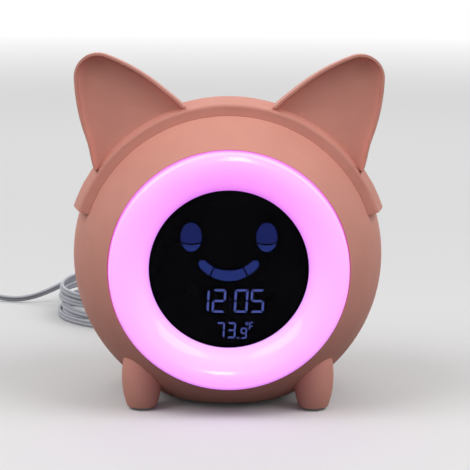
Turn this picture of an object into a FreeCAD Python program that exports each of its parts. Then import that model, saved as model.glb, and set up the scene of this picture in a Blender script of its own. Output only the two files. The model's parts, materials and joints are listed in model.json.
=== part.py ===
import FreeCAD, Part
import math
import os
import Sketcher
import types

# Round children's alarm clock with a ring night light and an eared headband.
# The face looks along -Y, +Z is up and the floor is Z = 0. Sizes are in mm.

doc = FreeCAD.newDocument("NightLightClock")
sheet = doc.addObject("Spreadsheet::Sheet", "Sizes")

DRIVING_SIZES = [
    # Round casing
    ("body_radius", 60.0, "radius of the round casing"),
    ("casing_wall", 2.2, "thickness of the casing"),
    ("base_cut", 6.6, "height of the slice cut off under the casing"),
    ("floor_gap", 2.0, "gap between the flat base and the floor"),
    ("parting_back", 4.0, "distance of the seam behind the centre"),
    ("back_radius", 33.17, "radius of the flat back"),
    ("lip_length", 2.0, "length of the tongue at the seam"),
    ("lip_thickness", 1.0, "thickness of the tongue at the seam"),
    ("fit_gap", 0.15, "running gap between parts that fit together"),
    # Round front window and night light
    ("ring_margin", 15.1, "width of the casing seen round the lit ring"),
    ("ring_width", 15.1, "width of the lit ring"),
    ("seat_sink", 3.2, "depth of the ring's seat below the casing's surface"),
    ("ring_height", 7.6, "height of the ring above its seat"),
    ("crown_inset", 4.3, "distance of the ring's highest circle inside its edge"),
    ("ring_draft", 0.5, "narrowing of the ring's outer wall towards the front"),
    ("rim_width", 1.2, "width of the ring's rounded rim"),
    ("rim_drop", 1.4, "depth of the ring's rounded rim"),
    ("rim_round", 1.55, "radius of the ring's rounded rim"),
    ("ring_lip", 1.0, "straight lip round the window"),
    ("ring_wall", 1.8, "thickness of the ring"),
    ("window_sink", 0.6, "depth of the window's face below the ring's seat"),
    ("window_thickness", 1.6, "thickness of the window"),
    ("window_overlap", 2.8, "hidden border of the window"),
    ("seat_width", 2.5, "width of the casing's seat under the ring"),
    ("board_sink", 5.6, "depth of the light board below the ring's seat"),
    ("board_thickness", 1.6, "thickness of every circuit board"),
    ("light_board_inset", 1.2, "distance of the light board inside the ring's edge"),
    ("light_board_margin", 1.8, "distance of the light board outside the window's edge"),
    ("lamp_inset", 5.7, "distance of the lamps outside the light board's hole"),
    ("lamp_width", 3.0, "width of a lamp"),
    ("lamp_height", 1.4, "height of a lamp"),
    ("lamp_hole", 2.25, "radius of the reflector's hole over a lamp"),
    ("reflector_wall", 1.1, "thickness of the reflector"),
    # Display
    ("display_clearance", 0.8, "gap between the round display and the light board"),
    ("display_thickness", 2.2, "thickness of the display glass"),
    ("backlight_thickness", 3.0, "thickness of the display's light guide"),
    # Main board
    ("main_board_inset", 4.5, "distance of the main board's edge inside its posts"),
    ("board_clearance", 0.16, "gap between a board's edge and the casing"),
    ("post_radius", 2.5, "radius of a board post"),
    ("tab_margin", 0.9, "margin of a board tab round its post"),
    ("tab_corner", 1.4, "cut corner of a board tab"),
    ("small_screw_radius", 1.0, "radius of a board screw's shank"),
    ("small_screw_length", 5.0, "length of a board screw's shank"),
    ("small_head_radius", 1.9, "radius of a board screw's head"),
    ("small_head_height", 1.3, "height of a board screw's head"),
    # Case screws
    ("boss_inset", 4.8, "distance of a case screw inside the casing's wall"),
    ("boss_angle", 30.0, "angle of the case screws above the horizontal"),
    ("boss_radius", 3.3, "radius of a screw boss in the front half"),
    ("boss_reach", 27.0, "reach of a screw boss in the front half"),
    ("case_screw_radius", 1.4, "radius of a case screw's shank"),
    ("case_screw_length", 16.0, "length of a case screw's shank"),
    ("case_head_radius", 2.6, "radius of a case screw's head"),
    ("case_head_height", 2.0, "height of a case screw's head"),
    ("case_head_back", 15.0, "distance of the screw head's seat behind the centre"),
    ("well_wall", 1.4, "wall round a screw well"),
    # Headband with ears
    ("band_front", 22.0, "reach of the headband's front face"),
    ("band_width", 9.0, "width of the headband"),
    ("band_thickness", 3.8, "thickness of the headband"),
    ("band_end_angle", 19.0, "angle of the headband's ends above the horizontal"),
    ("band_edge", 1.1, "rounding of the headband's outer front edge"),
    ("ear_angle", 35.6, "lean of each ear from the vertical"),
    ("ear_height", 35.5, "height of an ear above the casing"),
    ("ear_tip_radius", 10.0, "radius of an ear's tip"),
    ("ear_half_width", 20.6, "half width of an ear at its root"),
    ("ear_side_radius", 72.0, "radius of an ear's curved sides"),
    ("ear_tip_depth", 5.4, "thickness of an ear at its tip"),
    ("ear_rim", 1.0, "width of the rim round an ear's hollow"),
    ("ear_hollow", 3.6, "depth of an ear's hollow"),
    # Legs
    ("leg_angle", 38.5, "angle of a leg in front of or behind the side"),
    ("leg_rise", 17.0, "height of a leg's widest point above the casing's lowest"),
    ("leg_radius", 7.6, "radius of a leg at its widest"),
    ("leg_half_height", 17.0, "half height of a leg's egg shape"),
    ("peg_radius", 2.0, "radius of the peg that holds a leg"),
    ("peg_length", 7.0, "length of the peg above the leg's widest point"),
    ("pad_radius", 4.4, "radius of a rubber foot pad"),
    ("pad_thickness", 1.6, "thickness of a rubber foot pad"),
    ("pad_sink", 0.8, "depth of a foot pad's seat in the leg"),
    # Back panel
    ("recess_margin", 2.2, "width of the flat border round the sunk panel"),
    ("recess_depth", 1.5, "depth of the sunk panel"),
    ("button_radius", 3.6, "radius of a push button's cap"),
    ("button_edge", 0.5, "bevel round a push button's cap"),
    ("button_rise", 1.2, "rise of a push button above the panel"),
    ("button_flange", 4.5, "radius of a push button's flange"),
    ("button_flange_thickness", 1.0, "thickness of a push button's flange"),
    ("button_travel", 0.8, "travel of a push button"),
    ("button_spacing", 12.0, "spacing of the buttons across the panel"),
    ("upper_row", -6.0, "height of the upper buttons above the centre"),
    ("lower_row", -17.5, "height of the lower buttons above the centre"),
    ("switch_width", 6.0, "width of a tact switch"),
    ("switch_height", 3.5, "height of a tact switch"),
    ("plunger_radius", 1.7, "radius of a tact switch's plunger"),
    ("plunger_height", 1.5, "height of a tact switch's plunger"),
    ("button_board_gap", 9.3, "space between the button board and the panel"),
    ("button_board_half", 29.5, "half width of the button board"),
    ("button_board_top", -1.0, "height of the button board's upper edge"),
    ("corner_gap", 0.9, "gap between the button board's corners and the casing"),
    ("side_post", 26.5, "distance of the side board posts from the middle"),
    ("side_post_height", -11.5, "height of the side board posts"),
    ("low_screw_gap", 1.6, "gap between the lower board screw and the ribbon"),
    # Speaker
    ("speaker_height", 14.0, "height of the speaker above the centre"),
    ("speaker_radius", 12.0, "radius of the speaker"),
    ("speaker_rim", 1.5, "thickness of the speaker's rim"),
    ("speaker_depth", 5.0, "depth of the speaker's basket"),
    ("magnet_radius", 6.5, "radius of the speaker's magnet"),
    ("magnet_depth", 3.5, "depth of the speaker's magnet"),
    ("grille_hole", 0.9, "radius of a hole in the speaker grille"),
    ("grille_pitch", 3.6, "spacing of the rings of grille holes"),
    # Slide switch and room sensor
    ("slide_side", 21.0, "distance of the slide switch and sensor from the middle"),
    ("slide_height", 8.0, "height of the slide switch and sensor"),
    ("knob_width", 3.2, "width of the slide switch's knob"),
    ("knob_height", 4.2, "height of the slide switch's knob"),
    ("knob_travel", 4.0, "travel of the slide switch"),
    ("slide_body_height", 12.0, "height of the slide switch's case"),
    ("slide_body_depth", 4.0, "depth of the slide switch's case"),
    ("vent_width", 1.2, "width of a vent slot"),
    ("vent_height", 7.0, "height of a vent slot"),
    ("vent_pitch", 2.6, "spacing of the vent slots"),
    ("sensor_radius", 1.8, "radius of the room sensor"),
    ("sensor_length", 5.0, "length of the room sensor"),
    # Power socket and battery pack
    ("socket_height", -17.5, "height of the power socket above the centre"),
    ("socket_width", 9.0, "width of the power socket"),
    ("socket_bore_depth", 8.8, "depth of the power socket's bore"),
    ("barrel_gap", 0.15, "gap between the plug's barrel and the socket"),
    ("pack_clearance", 1.6, "gap between the battery pack and the screws beside it"),
    ("pack_depth", 7.0, "depth of the battery pack"),
    ("ribbon_width", 12.0, "width of the ribbon between the boards"),
    ("ribbon_thickness", 0.7, "thickness of the ribbon between the boards"),
    # Button cell under a round door in the base
    ("cup_gap", 1.65, "gap between the cell's cup and the main board"),
    ("cell_radius", 10.0, "radius of the button cell"),
    ("cell_thickness", 3.2, "thickness of the button cell"),
    ("door_radius", 12.2, "radius of the cell door"),
    ("door_thickness", 1.6, "thickness of the cell door"),
    ("door_sunk", 0.4, "depth of the cell door below the base"),
    ("cup_wall", 1.3, "wall of the cell's cup"),
    ("contact_thickness", 0.4, "thickness of the cell's contact"),
    ("slot_length", 13.0, "length of the coin slot in the door"),
    ("slot_width", 1.8, "width of the coin slot in the door"),
    ("slot_depth", 0.8, "depth of the coin slot in the door"),
    # Power lead
    ("lead_radius", 1.4, "radius of the power lead"),
    ("barrel_radius", 1.8, "radius of the power plug's barrel"),
    ("plug_radius", 4.0, "radius of the power plug's grip"),
    ("plug_length", 13.0, "length of the power plug's grip"),
    ("relief_length", 14.0, "length of the power plug's strain relief"),
    ("relief_radius", 2.9, "radius of a strain relief's thick end"),
    ("relief_skin", 0.6, "skin of a strain relief's thin end round the lead"),
    ("usb_relief_length", 10.0, "length of the far plug's strain relief"),
    ("usb_grip_length", 20.0, "length of the far plug's grip"),
    ("usb_grip_width", 15.6, "width of the far plug's grip"),
    ("usb_grip_height", 7.8, "height of the far plug's grip"),
    ("usb_grip_round", 2.2, "rounding of the far plug's grip"),
    ("usb_length", 12.0, "length of the far plug's metal shell"),
    ("usb_width", 12.0, "width of the far plug's metal shell"),
    ("usb_height", 4.5, "height of the far plug's metal shell"),
    ("usb_skin", 0.4, "thickness of the far plug's metal shell"),
]

BUTTONS = (
    # name, column from the middle, row
    ("set_button", -1.5, "upper_row"),
    ("mode_button", -0.5, "upper_row"),
    ("minus_button", 0.5, "upper_row"),
    ("plus_button", 1.5, "upper_row"),
    ("light_button", -1.5, "lower_row"),
    ("snooze_button", 1.5, "lower_row"),
)
LEGS = (
    # name, side, front (1) or rear (-1)
    ("front_left_leg", -1, 1),
    ("front_right_leg", 1, 1),
    ("rear_left_leg", -1, -1),
    ("rear_right_leg", 1, -1),
)
CHIPS = (
    # sideways place, height, width, height, thickness
    (-14.0, 9.0, 12.0, 12.0, 1.6),
    (8.0, 12.0, 8.0, 6.0, 1.6),
    (20.0, -4.0, 8.0, 3.2, 2.4),
    (-16.0, -14.0, 7.0, 5.0, 1.6),
    (12.0, -14.0, 6.0, 6.0, 3.0),
)
EAR_ROOT = 0.96
EAR_BOWL = 0.8
BAND_EDGE_ROUND = 1.08
# Route of the power lead on the floor behind the clock
ARC_SHARE = 0.45
FIRST_RUN = 12.5
LAST_DROP = 18.7
LEAD_DROP = [
    (0.4, 100.0, 28.0),
    (0.8, 108.0, 12.0),
]
RUN_START = 12.5
LEAD_RUN = [
    (-86.0, 168.5, 5.2),
    (-98.0, 169.0, 1.5),
    (-109.0, 172.5, 1.5),
    (-120.0, 175.0, 4.0),
    (-131.0, 175.0, 4.0),
]
COIL_MIDDLE = (-41.0, 145.0)
COIL_RADIUS = 42.2
COIL_PITCH = 3.9
COIL_RISE = 3.4
COIL_BOTTOM = 1.45
COIL_TURNS = 6 + 1 / 3
COIL_LAYERS = 4
COIL_EASE = 0.25
LAMP_COUNT = 12
POST_COUNT = 4
GRILLE_COUNTS = (6, 12)


def read_sizes():
    for row, (alias, value, note) in enumerate(DRIVING_SIZES, start=1):
        sheet.set("A%d" % row, note)
        sheet.set("B%d" % row, str(value))
        sheet.setAlias("B%d" % row, alias)
    doc.recompute()


class Size:
    """A length or angle: its value now, and the sheet formula that gives it."""

    def __init__(self, value, formula):
        self.value = float(value)
        self.formula = formula

    def __add__(self, other):
        other = plain(other)
        return Size(self.value + other.value, "(%s + %s)" % (self.formula, other.formula))

    def __sub__(self, other):
        other = plain(other)
        return Size(self.value - other.value, "(%s - %s)" % (self.formula, other.formula))

    def __mul__(self, other):
        other = plain(other)
        return Size(self.value * other.value, "(%s * %s)" % (self.formula, other.formula))

    def __truediv__(self, other):
        other = plain(other)
        return Size(self.value / other.value, "(%s / %s)" % (self.formula, other.formula))

    def __neg__(self):
        return Size(-self.value, "(0 - %s)" % self.formula)

    def __radd__(self, other):
        return self + other

    def __rsub__(self, other):
        return -self + other

    def __rmul__(self, other):
        return self * other


def plain(number):
    return number if isinstance(number, Size) else Size(number, repr(float(number)))


def root(size):
    return Size(math.sqrt(size.value), "sqrt(%s)" % size.formula)


def cosine(angle):
    return Size(math.cos(math.radians(angle.value)), "cos(%s)" % angle.formula)


def sine(angle):
    return Size(math.sin(math.radians(angle.value)), "sin(%s)" % angle.formula)


def across(radius, offset):
    """Radius of the circle that a ball of this radius shows at an offset."""
    return root(radius * radius - offset * offset)


read_sizes()
size = types.SimpleNamespace()
for alias, number, note in DRIVING_SIZES:
    setattr(size, alias, Size(sheet.get(alias), "Sizes." + alias))

# Sizes that follow from the sheet's, measured from the centre of the round casing

size.base_drop = size.body_radius - size.base_cut
size.centre_height = size.base_drop + size.floor_gap
size.back_reach = across(size.body_radius, size.back_radius)
size.ring_radius = size.body_radius - size.ring_margin
size.ring_crown_radius = size.ring_radius - size.crown_inset
size.window_radius = size.ring_radius - size.ring_width
size.seat_inner = size.ring_radius - size.seat_width
size.light_board_outer = size.ring_radius - size.light_board_inset
size.light_board_inner = size.window_radius + size.light_board_margin
size.light_circle = size.light_board_inner + size.lamp_inset
size.display_radius = size.light_board_inner - size.display_clearance
size.pack_width = (size.side_post - size.small_head_radius - size.pack_clearance) * 2
size.recess_radius = size.back_radius - size.recess_margin
size.seat_reach = across(size.body_radius, size.ring_radius) - size.seat_sink
size.ring_crown = size.seat_reach + size.ring_height
size.window_reach = size.seat_reach - size.window_sink
size.board_reach = size.seat_reach - size.board_sink
size.leg_drop = size.body_radius - size.leg_rise
size.leg_side = across(size.body_radius, size.leg_drop) * cosine(size.leg_angle)
size.leg_reach = across(size.body_radius, size.leg_drop) * sine(size.leg_angle)
size.ear_tip = size.body_radius + size.ear_height

# Ways of making an object that is bound to the sheet

pieces = []
centre_back = (size.ring_crown - size.back_reach) / 2
FACE_AXIS = FreeCAD.Rotation(FreeCAD.Vector(1, 0, 0), -90)
STRAIGHT = FreeCAD.Rotation()


def bind(obj, name, length):
    obj.setExpression(name, plain(length).formula)


def move(obj, x, y, z):
    bind(obj, "Placement.Base.x", x)
    bind(obj, "Placement.Base.y", y)
    bind(obj, "Placement.Base.z", z)


def piece(obj, label, x=0, y=0, z=0):
    """Name a finished piece and move it from the centre's frame to the floor's."""
    obj.Label = label
    bind(obj, "Placement.Base.x", x)
    bind(obj, "Placement.Base.y", centre_back + y)
    bind(obj, "Placement.Base.z", size.centre_height + z)
    pieces.append(obj)
    return obj


def ball(name, radius):
    obj = doc.addObject("Part::Sphere", name)
    bind(obj, "Radius", radius)
    return obj


def block(name, low, high):
    """A box between two corners, each given as three sizes."""
    obj = doc.addObject("Part::Box", name)
    for prop, first, last in zip(("Length", "Width", "Height"), low, high):
        bind(obj, prop, plain(last) - first)
    move(obj, *low)
    return obj


def rod(name, radius, x, y, z, length, along="y"):
    """A cylinder that starts at x, y, z and runs along +Y or +Z."""
    obj = doc.addObject("Part::Cylinder", name)
    bind(obj, "Radius", radius)
    bind(obj, "Height", length)
    rotation = FACE_AXIS if along == "y" else STRAIGHT
    obj.Placement = FreeCAD.Placement(FreeCAD.Vector(), rotation)
    move(obj, x, y, z)
    return obj


def join(name, objects):
    if len(objects) == 1:
        return objects[0]
    obj = doc.addObject("Part::MultiFuse", name)
    obj.Shapes = objects
    return obj


def cut(name, base, tools):
    obj = doc.addObject("Part::Cut", name)
    obj.Base = base
    obj.Tool = join(name + "_tools", tools)
    return obj


def shared(name, first, second):
    obj = doc.addObject("Part::Common", name)
    obj.Base = first
    obj.Tool = second
    return obj


def new_sketch(body, name, role, offset=None):
    sketch = body.newObject("Sketcher::SketchObject", name)
    plane = next(item for item in body.Origin.OriginFeatures if item.Role == role)
    sketch.AttachmentSupport = (plane, [""])
    sketch.MapMode = "FlatFace"
    if offset is not None:
        bind(sketch, "AttachmentOffset.Base.z", offset)
    return sketch


def pin_point(sketch, index, end, x, y):
    """Hold one point of a sketch at sizes from the sheet."""
    for kind, axis, length in (("DistanceX", -2, plain(x)), ("DistanceY", -1, plain(y))):
        if abs(length.value) < 1e-9:
            sketch.addConstraint(Sketcher.Constraint("PointOnObject", index, end, axis))
            continue
        number = sketch.addConstraint(
            Sketcher.Constraint(kind, -1, 1, index, end, length.value))
        sketch.setExpression("Constraints[%d]" % number, length.formula)


def arc_between(start, end, radius, turn):
    """The short arc between two points that turns left (1) or right (-1)."""
    chord = end - start
    rise = math.sqrt(radius * radius - chord.Length ** 2 / 4)
    left = FreeCAD.Vector(-chord.y, chord.x, 0).normalize()
    centre = (start + end) / 2 + left * rise * turn
    first = math.atan2(start.y - centre.y, start.x - centre.x)
    last = math.atan2(end.y - centre.y, end.x - centre.x)
    if turn < 0:
        first, last = last, first
    circle = Part.Circle(centre, FreeCAD.Vector(0, 0, 1), radius)
    return Part.ArcOfCircle(circle, first, last)


def draw(sketch, points, arcs=None):
    """Draw a closed outline. arcs gives radius and turn for the edges that bend."""
    arcs = arcs or {}
    spots = [FreeCAD.Vector(plain(x).value, plain(y).value, 0) for x, y in points]
    count = len(points)
    ends = []
    for index in range(count):
        start = spots[index]
        end = spots[(index + 1) % count]
        if index in arcs:
            radius, turn = arcs[index]
            edge = sketch.addGeometry(arc_between(start, end, plain(radius).value, turn))
            ends.append((edge, 1, 2) if turn > 0 else (edge, 2, 1))
        else:
            edge = sketch.addGeometry(Part.LineSegment(start, end))
            ends.append((edge, 1, 2))
    for index in range(count):
        edge, first, last = ends[index]
        after, after_first, after_last = ends[(index + 1) % count]
        sketch.addConstraint(Sketcher.Constraint("Coincident", edge, last, after, after_first))
        pin_point(sketch, edge, first, *points[index])
    for index, (radius, turn) in arcs.items():
        edge = ends[index][0]
        number = sketch.addConstraint(Sketcher.Constraint("Radius", edge, plain(radius).value))
        sketch.setExpression("Constraints[%d]" % number, plain(radius).formula)


def draw_circle(sketch, x, y, radius):
    centre = FreeCAD.Vector(plain(x).value, plain(y).value, 0)
    circle = Part.Circle(centre, FreeCAD.Vector(0, 0, 1), plain(radius).value)
    edge = sketch.addGeometry(circle)
    pin_point(sketch, edge, 3, x, y)
    number = sketch.addConstraint(Sketcher.Constraint("Radius", edge, plain(radius).value))
    sketch.setExpression("Constraints[%d]" % number, plain(radius).formula)


def draw_box(sketch, left, bottom, right, top):
    draw(sketch, ((left, bottom), (right, bottom), (right, top), (left, top)))


def draw_round_box(sketch, half_width, half_height, corner):
    """A box round the sketch's middle, with quarter arcs at its corners."""
    side = half_width - corner
    rise = half_height - corner
    points = ((-side, -half_height), (side, -half_height), (half_width, -rise),
              (half_width, rise), (side, half_height), (-side, half_height),
              (-half_width, rise), (-half_width, -rise))
    draw(sketch, points, {edge: (corner, 1) for edge in range(1, len(points), 2)})


def new_body(name):
    return doc.addObject("PartDesign::Body", name + "_body")


def pad(body, sketch, length):
    """Raise a sketch on the XZ plane towards the face, or on XY upwards."""
    feature = body.newObject("PartDesign::Pad", sketch.Name + "_pad")
    feature.Profile = sketch
    bind(feature, "Length", length)
    return feature


def drill(body, sketch):
    """Cut a sketch right through the body, both ways."""
    feature = body.newObject("PartDesign::Pocket", sketch.Name + "_pocket")
    feature.Profile = sketch
    feature.Type = "ThroughAll"
    feature.Midplane = True
    return feature


def turned(name, points, arcs=None, degrees=None):
    """Turn a profile of (reach, radius) points round the face axis."""
    body = new_body(name)
    arcs = {index: (radius, -turn) for index, (radius, turn) in (arcs or {}).items()}
    sketch = new_sketch(body, name + "_profile", "YZ_Plane")
    draw(sketch, [(-plain(reach), radius) for reach, radius in points], arcs)
    feature = body.newObject("PartDesign::Revolution", name + "_turn")
    feature.Profile = sketch
    feature.ReferenceAxis = (sketch, ["H_Axis"])
    if degrees is None:
        feature.Angle = 360
    else:
        feature.Midplane = True
        bind(feature, "Angle", degrees)
    return body


def repeat_round(body, feature, sketch, count):
    """Repeat a feature evenly round the face axis."""
    pattern = body.newObject("PartDesign::PolarPattern", feature.Name + "_ring")
    pattern.Originals = [feature]
    pattern.Axis = (sketch, ["N_Axis"])
    pattern.Angle = 360
    pattern.Occurrences = count
    body.Tip = pattern
    return pattern


def spot_on_circle(radius, degrees):
    """Sideways and upward place of a point on a circle round the face axis."""
    angle = math.radians(degrees)
    return plain(radius) * math.cos(angle), plain(radius) * math.sin(angle)


# Places that several pieces share, measured from the centre of the round casing

inner_radius = size.body_radius - size.casing_wall
base_inner = size.base_drop - size.casing_wall
window_back = size.window_reach - size.window_thickness
display_gap = size.fit_gap * 2
display_front = window_back - display_gap
display_back = display_front - size.display_thickness
main_front = display_back - size.backlight_thickness
main_back = main_front - size.board_thickness
light_board_back = size.board_reach - size.board_thickness
panel_face = size.back_reach - size.recess_depth
panel_inner = panel_face - size.casing_wall
band_back = size.band_front - size.band_width
rows = {"upper_row": size.upper_row, "lower_row": size.lower_row}
boss_circle = inner_radius - size.boss_inset
boss_side = boss_circle * cosine(size.boss_angle)
boss_rise = boss_circle * sine(size.boss_angle)
tab_half = size.post_radius + size.tab_margin
post_circle = across(inner_radius, main_front) - tab_half - size.board_clearance
size.main_board_radius = post_circle - size.main_board_inset
cup_radius = size.door_radius + size.fit_gap + size.cup_wall
size.cell_reach = main_back - cup_radius - size.cup_gap
board_back = panel_inner - size.button_board_gap
board_corner = across(inner_radius, board_back) - size.corner_gap
board_bottom = -across(board_corner, size.button_board_half)
ribbon_bottom = board_bottom + size.cup_wall
size.low_post_height = (ribbon_bottom + size.ribbon_thickness + size.low_screw_gap
                        + size.small_head_radius)
pack_top = size.button_board_top - size.cup_wall
pack_bottom = size.low_post_height + size.small_head_radius + display_gap
BOSS_SIDES = ((1, 1), (-1, 1), (-1, -1), (1, -1))


def casing_half(name, radius, drop, front, back):
    """The part of a ball between two depths, cut flat at the base."""
    far = radius * 2
    low = (-far, -far if front is None else front, -drop)
    high = (far, back, far)
    return shared(name, ball(name + "_ball", radius), block(name + "_limits", low, high))


def boss_places():
    return [(boss_side * side, boss_rise * rise) for side, rise in BOSS_SIDES]


def post_places():
    return [spot_on_circle(post_circle, 360 * index / POST_COUNT)
            for index in range(POST_COUNT)]


def make_front_shell():
    outer = casing_half("front_outer", size.body_radius, size.base_drop,
                        None, size.parting_back)
    cavity = casing_half("front_cavity", inner_radius, base_inner,
                         None, size.parting_back)
    skin = cut("front_skin", outer, [cavity])
    seat_outer = across(inner_radius, size.board_reach)
    solids = [rod("front_seat", seat_outer, 0, -size.seat_reach, 0,
                  size.seat_reach - size.board_reach)]
    for number, (x, z) in enumerate(post_places()):
        solids.append(rod("front_post_%d" % number, size.post_radius, x,
                          -size.seat_reach, z, size.seat_reach - main_front))
    for number, (x, z) in enumerate(boss_places()):
        solids.append(rod("front_boss_%d" % number, size.boss_radius, x,
                          -size.boss_reach, z, size.parting_back + size.boss_reach))
    cup_height = (size.door_sunk + size.door_thickness + size.cell_thickness
                  + size.contact_thickness + display_gap * 2 + size.cup_wall)
    solids.append(rod("front_cup", cup_radius, 0, -size.cell_reach, -size.base_drop,
                      cup_height, "z"))
    inside = shared("front_inside", join("front_solids", solids),
                    casing_half("front_trim", size.body_radius, size.base_drop,
                                None, size.parting_back))
    tongue_outer = across(inner_radius, size.parting_back) + size.lip_thickness
    tongue_inner = across(inner_radius, size.parting_back)
    tongue = cut("front_tongue_ring",
                 rod("front_tongue_disc", tongue_outer, 0, size.parting_back, 0,
                     size.lip_length),
                 [rod("front_tongue_hole", tongue_inner, 0, size.parting_back, 0,
                      size.lip_length)])
    tongue = shared("front_tongue", tongue,
                    block("front_tongue_limits", (-size.body_radius, 0, -base_inner),
                          (size.body_radius, size.body_radius, size.body_radius)))
    holes = [
        rod("front_window", size.ring_radius + size.fit_gap, 0, -size.body_radius, 0,
            size.body_radius - size.seat_reach),
        rod("front_light_hole", size.seat_inner, 0, -size.body_radius, 0,
            size.body_radius - size.board_reach + size.lip_length),
        rod("front_cup_mouth", size.door_radius + size.fit_gap, 0, -size.cell_reach,
            -size.base_drop, size.door_sunk + size.door_thickness, "z"),
        rod("front_cell_hole", size.cell_radius + size.fit_gap * 3, 0, -size.cell_reach,
            -size.base_drop, cup_height - size.cup_wall, "z"),
    ]
    for number, (x, z) in enumerate(post_places()):
        holes.append(rod("front_post_hole_%d" % number, size.small_screw_radius, x,
                         -(main_front + size.small_screw_length - size.board_thickness
                           + display_gap), z,
                         size.small_screw_length - size.board_thickness + display_gap))
    pilot_depth = (size.case_screw_length - size.case_head_back + size.parting_back
                   + display_gap)
    for number, (x, z) in enumerate(boss_places()):
        holes.append(rod("front_pilot_%d" % number, size.case_screw_radius, x,
                         size.parting_back - pilot_depth, z, pilot_depth))
    holes += peg_holes("front", -size.leg_reach)
    whole = join("front_whole", [skin, inside, tongue])
    piece(cut("front_shell", whole, holes), "front_shell")


def peg_holes(half, y):
    return [rod("%s_peg_hole_%d" % (half, side + 1), size.peg_radius + size.fit_gap / 2,
                size.leg_side * side, y, -(size.leg_drop + size.peg_length),
                size.peg_length * 2, "z")
            for side in (-1, 1)]


def make_rear_shell():
    outer = casing_half("rear_outer", size.body_radius, size.base_drop,
                        size.parting_back, size.back_reach)
    cavity = casing_half("rear_cavity", inner_radius, base_inner,
                         size.parting_back, panel_inner)
    skin = cut("rear_skin", outer, [cavity])
    solids = []
    well_radius = size.case_head_radius + display_gap + size.well_wall
    for number, (x, z) in enumerate(boss_places()):
        solids.append(rod("rear_boss_%d" % number, well_radius, x, size.parting_back, z,
                          size.back_reach - size.parting_back))
    for number, (x, z) in enumerate(board_posts()):
        solids.append(rod("rear_post_%d" % number, size.post_radius, x,
                          board_back, z, panel_face - board_back))
    solids.append(rod("rear_speaker_wall",
                      size.speaker_radius + size.fit_gap + size.cup_wall, 0,
                      panel_inner - size.speaker_rim * 2, size.speaker_height,
                      size.speaker_rim * 2 + size.casing_wall / 2))
    bracket_front = panel_inner - slide_gap() - size.slide_body_depth / 2
    for number, side in enumerate((-1, 1)):
        middle = size.slide_height + (size.slide_body_height / 2 + size.cup_wall / 2
                                      + size.fit_gap) * side
        solids.append(block("rear_bracket_%d" % number,
                            (-(size.slide_side + size.switch_width / 2), bracket_front,
                             middle - size.cup_wall / 2),
                            (-(size.slide_side - size.switch_width / 2),
                             panel_inner + size.casing_wall / 2,
                             middle + size.cup_wall / 2)))
    inside = shared("rear_inside", join("rear_solids", solids),
                    casing_half("rear_trim", size.body_radius, size.base_drop,
                                size.parting_back, size.back_reach))
    groove_outer = (across(inner_radius, size.parting_back) + size.lip_thickness
                    + size.fit_gap)
    groove_inner = across(inner_radius, size.parting_back) - size.fit_gap
    groove_depth = size.lip_length + size.fit_gap
    groove = cut("rear_groove_ring",
                 rod("rear_groove_disc", groove_outer, 0, size.parting_back, 0,
                     groove_depth),
                 [rod("rear_groove_core", groove_inner, 0, size.parting_back, 0,
                      groove_depth)])
    holes = [shared("rear_groove", groove,
                    block("rear_groove_limits",
                          (-size.body_radius, 0, -(base_inner + size.fit_gap)),
                          (size.body_radius, size.body_radius, size.body_radius)))]
    holes.append(rod("rear_recess", size.recess_radius, 0, panel_face, 0,
                     size.recess_depth))
    holes.append(rod("rear_speaker_seat", size.speaker_radius + size.fit_gap, 0,
                     panel_inner - size.speaker_rim * 2, size.speaker_height,
                     size.speaker_rim * 2))
    for number, (x, z) in enumerate(boss_places()):
        holes.append(rod("rear_shank_hole_%d" % number,
                         size.case_screw_radius + size.fit_gap, x, size.parting_back, z,
                         size.back_reach - size.parting_back))
        holes.append(rod("rear_well_%d" % number, size.case_head_radius + display_gap, x,
                         size.case_head_back, z, size.back_reach - size.case_head_back))
    for number, (x, z) in enumerate(board_posts()):
        holes.append(rod("rear_post_hole_%d" % number, size.small_screw_radius, x,
                         board_back, z,
                         size.small_screw_length - size.board_thickness + display_gap))
    for name, column, row in BUTTONS:
        holes.append(rod("rear_%s_hole" % name, size.button_radius + size.fit_gap,
                         size.button_spacing * column, panel_inner, rows[row],
                         size.back_reach - panel_inner))
    holes.append(rod("rear_socket_hole", size.barrel_radius + display_gap, 0, panel_inner,
                     size.socket_height, size.casing_wall))
    holes.append(block("rear_slide_slot",
                       (-(size.slide_side + size.knob_width / 2 + size.fit_gap),
                        panel_inner,
                        size.slide_height - (size.knob_height + size.knob_travel) / 2
                        - size.fit_gap),
                       (-(size.slide_side - size.knob_width / 2 - size.fit_gap),
                        panel_face,
                        size.slide_height + (size.knob_height + size.knob_travel) / 2
                        + size.fit_gap)))
    for number in (-1, 0, 1):
        middle = size.slide_side + size.vent_pitch * number
        holes.append(block("rear_vent_%d" % (number + 1),
                           (middle - size.vent_width / 2, panel_inner,
                            size.slide_height - size.vent_height / 2),
                           (middle + size.vent_width / 2, panel_face,
                            size.slide_height + size.vent_height / 2)))
    holes += grille_holes()
    holes += peg_holes("rear", size.leg_reach)
    whole = join("rear_whole", [skin, inside])
    piece(cut("rear_shell", whole, holes), "rear_shell")


def board_posts():
    """Places of the three posts that carry the button board."""
    return ((size.side_post, size.side_post_height),
            (-size.side_post, size.side_post_height),
            (plain(0), size.low_post_height))


def slide_gap():
    return size.button_flange_thickness + size.fit_gap


def grille_holes():
    holes = [rod("rear_grille_centre", size.grille_hole, 0, panel_inner,
                 size.speaker_height, size.casing_wall)]
    for ring, count in enumerate(GRILLE_COUNTS, start=1):
        for index in range(count):
            x, z = spot_on_circle(size.grille_pitch * ring, 360 * index / count)
            holes.append(rod("rear_grille_%d_%d" % (ring, index), size.grille_hole, x,
                             panel_inner, z + size.speaker_height, size.casing_wall))
    return holes


def bulge(height, half_width):
    """Radius of the arc that rises by a height over a half width."""
    return (height * height + half_width * half_width) / (height * 2)


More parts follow.
